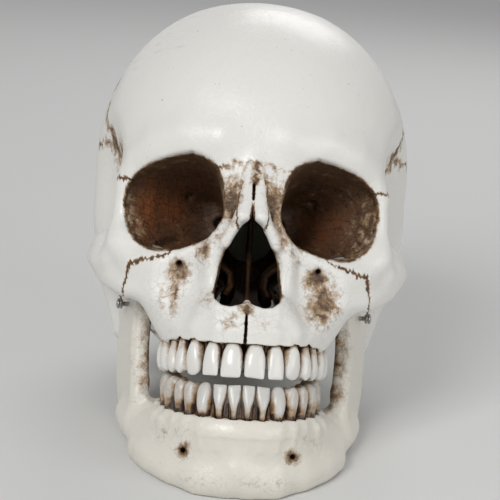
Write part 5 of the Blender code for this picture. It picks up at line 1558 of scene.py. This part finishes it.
class Finish:
    """A material's nodes, with short calls that add and join them."""

    def __init__(self, name):
        self.material = bpy.data.materials.new(name)
        self.material.use_nodes = True
        self.tree = self.material.node_tree
        self.shader = self.tree.nodes["Principled BSDF"]

    def node(self, kind, settings=(), **inputs):
        made = self.tree.nodes.new("ShaderNode" + kind)
        for key, value in dict(settings).items():
            setattr(made, key, value)
        for key, value in inputs.items():
            numbered = key[0] == "i" and key[1:].isdigit()
            self.feed(made.inputs[int(key[1:]) if numbered else key.replace("_", " ")], value)
        return made

    def feed(self, socket, value):
        if isinstance(value, bpy.types.NodeSocket):
            self.tree.links.new(value, socket)
        else:
            socket.default_value = value

    def noise(self, scale, detail=4.0, roughness=0.55, distortion=0.0):
        coordinates = self.node("TexCoord").outputs["Object"]
        values = {"Scale": scale, "Detail": detail, "Roughness": roughness}
        made = self.node("TexNoise", Vector=coordinates, Distortion=distortion, **values)
        return made.outputs["Fac"]

    def cracks(self, scale):
        """Thin lines between uneven cells, 1 along a line and 0 away from it."""
        coordinates = self.node("TexCoord").outputs["Object"]
        shift = self.node("TexNoise", Vector=coordinates, Scale=scale * 0.9, Detail=3.0)
        settings, reach = {"operation": "MULTIPLY_ADD"}, (0.0035,) * 3
        shaken = self.node(
            "VectorMath", settings, i0=shift.outputs["Color"], i1=reach, i2=coordinates
        )
        settings = {"feature": "DISTANCE_TO_EDGE"}
        cells = self.node("TexVoronoi", settings, Vector=shaken.outputs[0], Scale=scale)
        away = self.math("MULTIPLY", cells.outputs["Distance"], 16.0, clamp=True)
        return self.math("SUBTRACT", 1.0, away, clamp=True)

    def math(self, operation, a, b=0.0, c=0.0, clamp=False):
        settings = {"operation": operation, "use_clamp": clamp}
        return self.node("Math", settings, i0=a, i1=b, i2=c).outputs[0]

    def ramp(self, factor, stops):
        made = self.node("ValToRGB", Fac=factor)
        points = made.color_ramp.elements
        while len(points) < len(stops):
            points.new(0.5)
        for point, (position, colour) in zip(points, stops):
            point.position = position
            point.color = (*colour, 1)
        return made.outputs["Color"]

    def mix(self, factor, a, b, kind="MIX"):
        settings = {"data_type": "RGBA", "blend_type": kind}
        return self.node("Mix", settings, i0=factor, i6=a, i7=b).outputs[2]

    def attribute(self, name):
        return self.node("Attribute", {"attribute_name": name}).outputs["Fac"]

    def set(self, **inputs):
        for key, value in inputs.items():
            self.feed(self.shader.inputs[key.replace("_", " ")], value)
        return self.material


def bone_finish(name, clean, colours, shine=0.5):
    """Ivory resin with a brown wash that settles where the surface is sheltered, and the painted
    shade that its brown carries.
    """
    own = Finish(name)
    stain, deep = own.attribute("stain"), own.attribute("deep")
    cloud, grain = own.noise(75, 5.0), own.noise(620, 6.0, 0.62)
    wisps = own.noise(270, 9.0, 0.72, 0.35)
    uneven = own.math("MULTIPLY_ADD", cloud, 0.8, -0.4)
    streaks = own.math("MULTIPLY_ADD", wisps, 2.0, -1.0)
    spread = own.math("ADD", uneven, streaks)
    partly = own.math("MULTIPLY", stain, own.math("SUBTRACT", 1.15, stain))
    edge = own.math("MULTIPLY", partly, 3.2)
    brown = own.math("MULTIPLY_ADD", spread, edge, stain, clamp=True)
    tan, rich, dark, warm = (tuple(colours[key]) for key in ("tan", "brown", "dark", "warm"))
    faded = tuple(0.55 * c + 0.45 * t for c, t in zip(clean, tan))
    stops = (0.0, clean), (0.22, clean), (0.40, faded), (0.60, tan), (0.84, rich), (1.0, rich)
    base = own.ramp(brown, stops)
    mottle = own.math("MULTIPLY_ADD", own.noise(24, 3.0), 0.5, -0.12, clamp=True)
    yellow = tuple(c * t for c, t in zip(clean, (0.965, 0.925, 0.84)))
    bare = own.math("SUBTRACT", 1.0, brown)
    aged = own.mix(own.math("MULTIPLY", mottle, bare), base, (*yellow, 1))
    stops = (0.36, dark), (0.53, rich), (0.63, warm), (0.80, tan)
    inner = own.ramp(own.noise(95, 6.0, 0.62, 0.8), stops)
    shown = own.math("MULTIPLY_ADD", own.math("SUBTRACT", wisps, 0.5), 0.5, deep, clamp=True)
    coloured = own.mix(own.math("MULTIPLY", shown, deep), aged, inner)
    ember = tuple(c * t for c, t in zip(warm, (3.4, 2.2, 1.2)))
    broken = own.math("MULTIPLY_ADD", wisps, 1.6, -0.05, clamp=True)
    glow = own.math("MULTIPLY", own.attribute("ruddy"), broken)
    coloured = own.mix(glow, coloured, (*ember, 1))
    cracks = own.math("MULTIPLY", own.cracks(330), own.math("MULTIPLY", brown, 0.88))
    coloured = own.mix(cracks, coloured, (*dark, 1))
    specks = own.math("GREATER_THAN", own.noise(900, 2.0, 0.5), 0.735)
    sparse = own.math("MULTIPLY", specks, own.math("GREATER_THAN", own.noise(60, 2.0), 0.56))
    coloured = own.mix(own.math("MULTIPLY", sparse, 0.55), coloured, (*rich, 1))
    gloss = own.math("MULTIPLY_ADD", brown, 0.26, own.math("MULTIPLY_ADD", grain, 0.12, 0.24))
    rough = own.math("MULTIPLY_ADD", brown, 1.1, 0.16)
    relief = own.math("MULTIPLY_ADD", own.noise(300, 5.0, 0.6), 0.6, grain)
    height = own.math("MULTIPLY", own.math("SUBTRACT", relief, own.cracks(330)), rough)
    normal = own.node("Bump", Strength=0.35, Distance=0.0006, Height=height).outputs["Normal"]
    return own.set(Base_Color=coloured, Roughness=gloss, Normal=normal, Specular_IOR_Level=shine)


def enamel_finish(name, enamel, colours):
    """Glossy tooth resin with a brown wash at its neck and between the teeth, and painted shade on
    the lower and back teeth.
    """
    own = Finish(name)
    stain = own.attribute("stain")
    wisps, fine = own.noise(380, 6.0, 0.6, 0.8), own.noise(1500, 3.0)
    spread = own.math("MULTIPLY_ADD", wisps, 1.1, -0.55)
    partly = own.math("MULTIPLY", stain, own.math("SUBTRACT", 1.2, stain))
    edge = own.math("MULTIPLY", partly, 3.0)
    brown = own.math("MULTIPLY_ADD", spread, edge, stain, clamp=True)
    tan, rich, dark = (tuple(colours[key]) for key in ("tan", "brown", "dark"))
    root = tuple(0.62 * e + 0.38 * t for e, t in zip(enamel, tan))
    stops = (0.0, enamel), (0.20, enamel), (0.42, root), (0.72, tan), (0.95, rich), (1.0, dark)
    base = own.ramp(brown, stops)
    gloss = own.math("MULTIPLY_ADD", brown, 0.30, own.math("MULTIPLY_ADD", fine, 0.08, 0.16))
    rough, grain = own.math("MULTIPLY_ADD", brown, 0.9, 0.15), own.math("MULTIPLY", fine, 0.1)
    height = own.math("MULTIPLY_ADD", wisps, rough, grain)
    bump = own.node("Bump", Strength=0.3, Distance=0.0004, Height=height)
    return own.set(Base_Color=base, Roughness=gloss, Normal=bump.outputs["Normal"])


def steel_finish(name, colour):
    own = Finish(name)
    drawn, spots = own.noise(2600, 3.0), own.noise(400, 4.0)
    dull = tuple(0.72 * c for c in colour)
    base = own.mix(own.math("MULTIPLY", spots, 0.6), (*colour, 1), (*dull, 1))
    gloss = own.math("MULTIPLY_ADD", drawn, 0.22, 0.18)
    bump = own.node("Bump", Strength=0.15, Distance=0.0001, Height=drawn)
    return own.set(Base_Color=base, Roughness=gloss, Metallic=1.0, Normal=bump.outputs["Normal"])


# The add-on


class SkullSizes(bpy.types.PropertyGroup):
    """Sizes of the fine surface."""

    cell: FloatProperty(
        name="Cell",
        description="Spacing of the grid that the bone's surface is drawn from",
        default=0.0006,
        min=0.0003,
        max=0.003,
        unit="LENGTH",
        precision=5,
    )
    merging: FloatProperty(
        name="Merging",
        description="How readily flat neighbouring faces are merged",
        default=0.01,
        min=0.0,
        max=1.0,
        subtype="FACTOR",
    )
    suture_depth: FloatProperty(
        name="Suture depth",
        description="How deep the line between two bones is pressed in",
        default=0.00035,
        min=0.0,
        max=0.001,
        unit="LENGTH",
        precision=5,
    )
    label_rounds: IntProperty(
        name="Border smoothing",
        description="How many times the borders between the bones are evened out",
        default=3,
        min=0,
        max=10,
    )


def colour(name, description, default):
    return FloatVectorProperty(
        name=name, description=description, default=default, subtype="COLOR", min=0, max=1
    )


def power(name, description, default):
    return FloatProperty(name=name, description=description, default=default, unit="POWER")


class SkullColours(bpy.types.PropertyGroup):
    """Colours of the resin, its patina and the steel."""

    bone: colour("Bone", "Clean resin of the skull", (0.775, 0.760, 0.725))
    jaw: colour("Jaw", "Clean resin of the lower jaw", (0.755, 0.722, 0.650))
    enamel: colour("Enamel", "Crowns of the teeth", (0.750, 0.735, 0.695))
    tan: colour("Light wash", "Thin brown wash", (0.355, 0.225, 0.115))
    brown: colour("Dark wash", "Thick brown wash", (0.095, 0.046, 0.020))
    dark: colour("Deep wash", "Near black of the deepest hollows", (0.020, 0.010, 0.006))
    warm: colour("Warm wash", "Rust brown inside the eye sockets", (0.165, 0.066, 0.022))
    steel: colour("Steel", "Springs and screws", (0.36, 0.35, 0.34))
    floor: colour("Floor", "Plain ground under the model", (0.72, 0.72, 0.71))


class SkullStage(bpy.types.PropertyGroup):
    """Camera and lamps."""

    distance: FloatProperty(
        name="Camera distance",
        description="From the camera to the middle of the face",
        default=0.677,
        unit="LENGTH",
        precision=3,
    )
    focal: FloatProperty(
        name="Focal length",
        description="Of the camera, on a 36 mm sensor",
        default=124.34,
        unit="CAMERA",
    )
    key: power("Key lamp", "Power of the main lamp", 10.5)
    fill: power("Fill lamp", "Power of the lamp on the other side", 3.5)
    back: power("Back lamp", "Power of the lamp behind", 3.0)
    room: FloatProperty(
        name="Room light",
        description="Strength of the even light around",
        default=0.34,
        min=0,
        max=2,
        subtype="FACTOR",
    )


def palette(colours):
    return {key: tuple(getattr(colours, key)) for key in ("tan", "brown", "dark", "warm")}


def owners_of(points, faces, names, rounds):
    """For each face the number of the bone that it belongs to."""
    edges = edges_of(faces)
    labels = nearest_bones(names, laid_back(jagged(points)))
    labels = settled(labels, edges, len(names), rounds)
    labels = without_islands(labels, edges, LEAST_PATCH)
    trio = labels[faces]
    return np.where(trio[:, 1] == trio[:, 2], trio[:, 1], trio[:, 0])


def seams_of(points, faces, owner):
    """1 where bones meet, and little at the root of the nose, where the seam hardly shows."""
    least, most = np.full(len(points), owner.max() + 1), np.zeros(len(points), int)
    for corner in range(3):
        np.minimum.at(least, faces[:, corner], owner)
        np.maximum.at(most, faces[:, corner], owner)
    seam = (least != most).astype(np.float32)
    x, _, z = points.T
    seam[(np.abs(x) < 0.15 * BAR) & (z < 0.13 * DROP) & (z > -0.30 * DROP)] *= 0.15
    return seam


def seam_mark(points, seam):
    """How brown the seams are: more on the face, and less above the root of the nose."""
    x, y, z = even(list(points.T))
    face = soft_step(0.60 * DROP, 0.35 * DROP, z) * soft_step(-0.30 * DEPTH, -0.55 * DEPTH, y)
    mark = seam * (0.62 + 0.32 * face)
    above = np.exp(-((x / (0.20 * SPAN)) ** 2) - ((z - 0.24 * DROP) / (0.07 * DROP)) ** 2)
    return mark * (1 - 0.62 * above * (y < FRONT_SHARE * DEPTH))


def ruddiness(points, deep):
    """Where the sockets are warm red-brown."""
    total = np.zeros(len(points))
    for centre, spread, strength in RUDDY_SHARES:
        total = np.maximum(total, strength * haze(points.T, centre, spread) * deep)
    return total


class SKULL_OT_bones(bpy.types.Operator):
    """Build the fine surface of the skull, one piece for each bone"""

    bl_idname = "skull.bones"
    bl_label = "Skull bones"

    def execute(self, context):
        sizes, colours = context.scene.skull_sizes, context.scene.skull_colours
        back = VAULT_LENGTH * (1 / 2 + VAULT_MIDDLE_SHARE)
        high = [size + MARGIN for size in (VAULT_BREADTH / 2, back, VAULT_HEIGHT)]
        low = place((0, -1.12, -0.50))
        points, faces = surface(fine_skull, low, high, sizes.cell, sizes.merging)
        names = bone_names()
        owner = owners_of(points, faces, names, sizes.label_rounds)
        normals = normals_of(points, faces)
        brown, deep = patina(fine_skull, UPPER_ROW, points, normals)
        seam = seams_of(points, faces, owner)
        press = sizes.suture_depth * seam * (1 - 0.6 * deep)
        points = points - normals * press[:, None]
        brown = np.maximum(brown, seam_mark(points, seam))
        ruddy = ruddiness(points, deep)
        normals = turned_back(normals_of(points, faces))
        spots = laid_back(points)
        material = bone_finish("ivory resin", tuple(colours.bone), palette(colours))
        for number, name in enumerate(names):
            own = faces[owner == number]
            if not len(own):
                raise RuntimeError(f"no surface was found for {name}")
            *form, stain, dark, red = compact(spots, own, normals, brown, deep, ruddy)
            looks = {"stain": stain, "deep": dark, "ruddy": red}
            piece_of(name + "_surface", *form, "cranium", material, "bone", [name], **looks)
        return {"FINISHED"}


NOSE_CELL = 0.0005


class SKULL_OT_nose(bpy.types.Operator):
    """Build the septum and the scrolls inside the nose"""

    bl_idname = "skull.nose"
    bl_label = "Inside of the nose"

    def execute(self, context):
        tones = palette(context.scene.skull_colours).items()
        # Painted shade: the inside of the nose takes every tone at under a third of its brightness,
        # for the nasal cavity's shade as well as its stain
        darker = {key: tuple(0.30 * c for c in tone) for key, tone in tones}
        clean = tuple(0.6 * c for c in darker["tan"])
        material = bone_finish("stained resin", clean, darker, shine=0.06)
        low, high = place((0, -0.95, -0.40)), place((0.22, -0.35, 0.30))
        for field, pieces in (
            (septum_field, ((0, "vomer"),)),
            (concha_field, ((1, "nasal_concha_left"), (-1, "nasal_concha_right"))),
        ):
            points, faces = surface_all(field, low, high, NOSE_CELL)
            for side, name in pieces:
                mine = faces if not side else faces[np.sign(points[faces[:, 0], 0]) == side]
                spots, own = compact(points, mine)
                deep = soft_step(-0.88 * DEPTH, -0.80 * DEPTH, spots[:, 1])
                form = laid_back(spots), own, turned_back(normals_of(spots, own))
                # Painted shade: browner and darker further back into the nose, and never clean
                looks = {"stain": 0.84 + 0.16 * deep, "deep": 0.6 + 0.4 * deep}
                full = name + "_surface"
                piece_of(full, *form, "cranium", material, "nose_inner", [name], **looks)
        return {"FINISHED"}


class SKULL_OT_jaw(bpy.types.Operator):
    """Build the fine surface of the lower jaw"""

    bl_idname = "skull.jaw"
    bl_label = "Lower jaw"

    def execute(self, context):
        sizes, colours = context.scene.skull_sizes, context.scene.skull_colours
        low, high = place((0, -1.05, -1.11)), place((0.64, 0.05, 0.05))
        points, faces = surface(fine_jaw, low, high, sizes.cell, sizes.merging)
        normals = normals_of(points, faces)
        brown, deep = patina(fine_jaw, LOWER_ROW, points, normals)
        material = bone_finish("ivory resin of the jaw", tuple(colours.jaw), palette(colours))
        form = laid_back(points), faces, turned_back(normals)
        looks = {"stain": brown, "deep": 0.5 * deep}
        piece_of(
            "mandible_surface", *form, "lower_jaw", material, "jaw_bone", ["mandible"], **looks
        )
        return {"FINISHED"}


class SKULL_OT_teeth(bpy.types.Operator):
    """Build the thirty-two teeth"""

    bl_idname = "skull.teeth"
    bl_label = "Teeth"

    def execute(self, context):
        colours = context.scene.skull_colours
        material = enamel_finish("tooth resin", tuple(colours.enamel), palette(colours))
        make_teeth("upper", UPPER_ROW, material, "cranium")
        # Painted shade and patina: the lower teeth's enamel is a fifth darker, for the upper jaw's
        # shadow and their own brown
        dull = tuple(0.80 * c for c in colours.enamel)
        material = enamel_finish("lower tooth resin", dull, palette(colours))
        make_teeth("lower", LOWER_ROW, material, "lower_jaw")
        return {"FINISHED"}


class SKULL_OT_springs(bpy.types.Operator):
    """Build the two coiled springs, whose real counterparts stretch as the jaw opens"""

    bl_idname = "skull.springs"
    bl_label = "Jaw springs"

    def execute(self, context):
        material = steel_finish("spring steel", tuple(context.scene.skull_colours.steel))
        points, faces = tube(spring_line(), WIRE / 2)
        for side, ending in ((1, "left"), (-1, "right")):
            spots = laid_back(points * np.array((side, 1, 1)))
            obj = mesh_object(f"jaw_spring_{ending}_wire", spots, outward(spots, faces))
            obj.data.materials.append(material)
            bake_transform(obj)
            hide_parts(f"jaw_spring_{ending}")
        return {"FINISHED"}


SHARP_ANGLE = math.radians(35)  # between a screw's faces, from which their edge is kept


def cut_recess(context, obj, length):
    """Cut the cross-shaped recess into a screw's head."""
    cutter = recess(length)
    modifier = obj.modifiers.new("recess", "BOOLEAN")
    modifier.object = cutter
    modifier.solver = "EXACT"
    graph = context.evaluated_depsgraph_get()
    mesh = bpy.data.meshes.new_from_object(obj.evaluated_get(graph))
    if not len(mesh.polygons):
        raise RuntimeError(f"the recess left nothing of {obj.name}")
    obj.modifiers.clear()
    obj.data = mesh
    bpy.data.objects.remove(cutter)
    return mesh


class SKULL_OT_screws(bpy.types.Operator):
    """Build the four screws that hold the springs"""

    bl_idname = "skull.screws"
    bl_label = "Spring screws"

    def execute(self, context):
        material = steel_finish("screw steel", tuple(context.scene.skull_colours.steel))
        for end, body in (("upper", "cranium"), ("lower", "lower_jaw")):
            for side, ending in ((1, "left"), (-1, "right")):
                name = f"spring_screw_{end}_{ending}"
                low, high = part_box(name)
                length = high[0] - low[0] - HEAD_HEIGHT
                obj = linked(context, name + "_turned", screw_form(length))
                mesh = cut_recess(context, obj, length)
                turn = Matrix.Rotation(0 if side > 0 else math.pi, 4, "Z")
                _, y, z = [(a + b) / 2 for a, b in zip(low, high)]
                at = Matrix.Translation((low[0] if side > 0 else high[0], y, z))
                mesh.transform(at @ turn @ Matrix.Rotation(0.4 + side, 4, "X"))
                mesh.shade_smooth()
                mesh.set_sharp_from_angle(angle=SHARP_ANGLE)
                mesh.materials.append(material)
                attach(obj, body)
                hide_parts(name)
        return {"FINISHED"}


FACE_MIDDLE = (0, -0.090, -0.0066)  # which the camera and the lamps look at
FLOOR_HALF = 6.0
# The camera's turn about the face, its rise and its roll, against the upright skull
CAMERA_ANGLES = (math.radians(-1), math.radians(-11), math.radians(3.4))


def make_floor(context, colour_of_floor):
    """Plain ground under the model."""
    shape = bmesh.new()
    bmesh.ops.create_grid(shape, x_segments=8, y_segments=8, size=FLOOR_HALF)
    mesh = bpy.data.meshes.new("floor")
    shape.to_mesh(mesh)
    shape.free()
    floor = linked(context, "floor", mesh)
    own = Finish("plain floor")
    tone = own.noise(3.0, 2.0)
    darker = tuple(0.985 * c for c in colour_of_floor)
    own.set(Base_Color=own.mix(tone, (*colour_of_floor, 1), (*darker, 1)), Roughness=0.85)
    mesh.materials.append(own.material)


def make_world(context, strength, colour_of_floor):
    """Even light from all around, which looks like the floor to the camera and in reflections."""
    world = bpy.data.worlds.new("studio")
    world.use_nodes = True
    context.scene.world = world
    nodes, links = world.node_tree.nodes, world.node_tree.links
    shine, plain = nodes["Background"], nodes.new("ShaderNodeBackground")
    shine.inputs["Color"].default_value = (0.98, 0.99, 1.0, 1)
    shine.inputs["Strength"].default_value = strength
    plain.inputs["Color"].default_value = (*colour_of_floor, 1)
    rays, either = nodes.new("ShaderNodeLightPath"), nodes.new("ShaderNodeMath")
    also, mixed = nodes.new("ShaderNodeMath"), nodes.new("ShaderNodeMixShader")
    for node, first, second in (
        (either, rays.outputs["Is Camera Ray"], rays.outputs["Is Glossy Ray"]),
        (also, either.outputs[0], rays.outputs["Is Transmission Ray"]),
    ):
        node.operation = "MAXIMUM"
        links.new(first, node.inputs[0])
        links.new(second, node.inputs[1])
    for index, source in enumerate((also, shine, plain)):
        links.new(source.outputs[0], mixed.inputs[index])
    links.new(mixed.outputs[0], nodes["World Output"].inputs["Surface"])


def make_camera(context, middle, stage):
    """A camera that looks at the face along the upright skull's own front."""
    camera = linked(context, "camera", bpy.data.cameras.new("camera"))
    camera.data.lens = stage.focal
    camera.data.sensor_width = 36.0
    turn, rise, roll = CAMERA_ANGLES
    flat = math.cos(rise)
    back = Vector((math.sin(turn) * flat, -math.cos(turn) * flat, math.sin(rise)))
    upright = (-back).to_track_quat("-Z", "Y") @ Quaternion((0, 0, 1), roll)
    tilt = Matrix.Rotation(-LAY_BACK, 4, "X")
    camera.location = middle + tilt.to_3x3() @ back * stage.distance
    camera.rotation_mode = "QUATERNION"
    camera.rotation_quaternion = (tilt @ upright.to_matrix().to_4x4()).to_quaternion()
    context.scene.camera = camera


class SKULL_OT_stage(bpy.types.Operator):
    """Build the floor, the lamps and the camera"""

    bl_idname = "skull.stage"
    bl_label = "Floor, lamps and camera"

    def execute(self, context):
        stage, colours = context.scene.skull_stage, context.scene.skull_colours
        make_floor(context, colours.floor)
        make_world(context, stage.room, colours.floor)
        middle = Vector(laid_back(np.array([FACE_MIDDLE]))[0].tolist())
        for name, spot, power_of_lamp, size in (
            ("key", (-0.55, -1.05, 0.95), stage.key, 0.55),
            ("fill", (0.95, -0.75, 0.45), stage.fill, 0.7),
            ("back", (0.25, 0.95, 0.85), stage.back, 0.6),
        ):
            lamp = bpy.data.lights.new(name, "AREA")
            lamp.energy = power_of_lamp
            lamp.size = size
            obj = linked(context, name, lamp)
            obj.location = spot
            obj.rotation_euler = (middle - Vector(spot)).to_track_quat("-Z", "Y").to_euler()
        make_camera(context, middle, stage)
        context.scene.view_settings.view_transform = "Standard"
        return {"FINISHED"}


OPERATORS = (
    SKULL_OT_bones,
    SKULL_OT_nose,
    SKULL_OT_jaw,
    SKULL_OT_teeth,
    SKULL_OT_springs,
    SKULL_OT_screws,
    SKULL_OT_stage,
)


class SKULL_PT_model(bpy.types.Panel):
    """Everything that builds the model"""

    bl_label = "Anatomical skull"
    bl_idname = "SKULL_PT_model"
    bl_space_type = "VIEW_3D"
    bl_region_type = "UI"
    bl_category = "Skull"

    def draw(self, context):
        scene = context.scene
        for group in (scene.skull_sizes, scene.skull_colours, scene.skull_stage):
            column = self.layout.column(align=True)
            for key in group.__annotations__:
                column.prop(group, key)
        for operator in OPERATORS:
            self.layout.operator(operator.bl_idname)


GROUPS = (
    ("skull_sizes", SkullSizes),
    ("skull_colours", SkullColours),
    ("skull_stage", SkullStage),
)


def register():
    for name, group in GROUPS:
        bpy.utils.register_class(group)
        setattr(bpy.types.Scene, name, PointerProperty(type=group))
    for kind in (*OPERATORS, SKULL_PT_model):
        bpy.utils.register_class(kind)


def unregister():
    for kind in (SKULL_PT_model, *reversed(OPERATORS)):
        bpy.utils.unregister_class(kind)
    for name, group in reversed(GROUPS):
        delattr(bpy.types.Scene, name)
        bpy.utils.unregister_class(group)


def main():
    register()
    bpy.ops.skull.bones()
    bpy.ops.skull.nose()
    bpy.ops.skull.jaw()
    bpy.ops.skull.teeth()
    bpy.ops.skull.springs()
    bpy.ops.skull.screws()
    bpy.ops.skull.stage()
    bpy.context.view_layer.update()


if __name__ == "__main__":
    main()
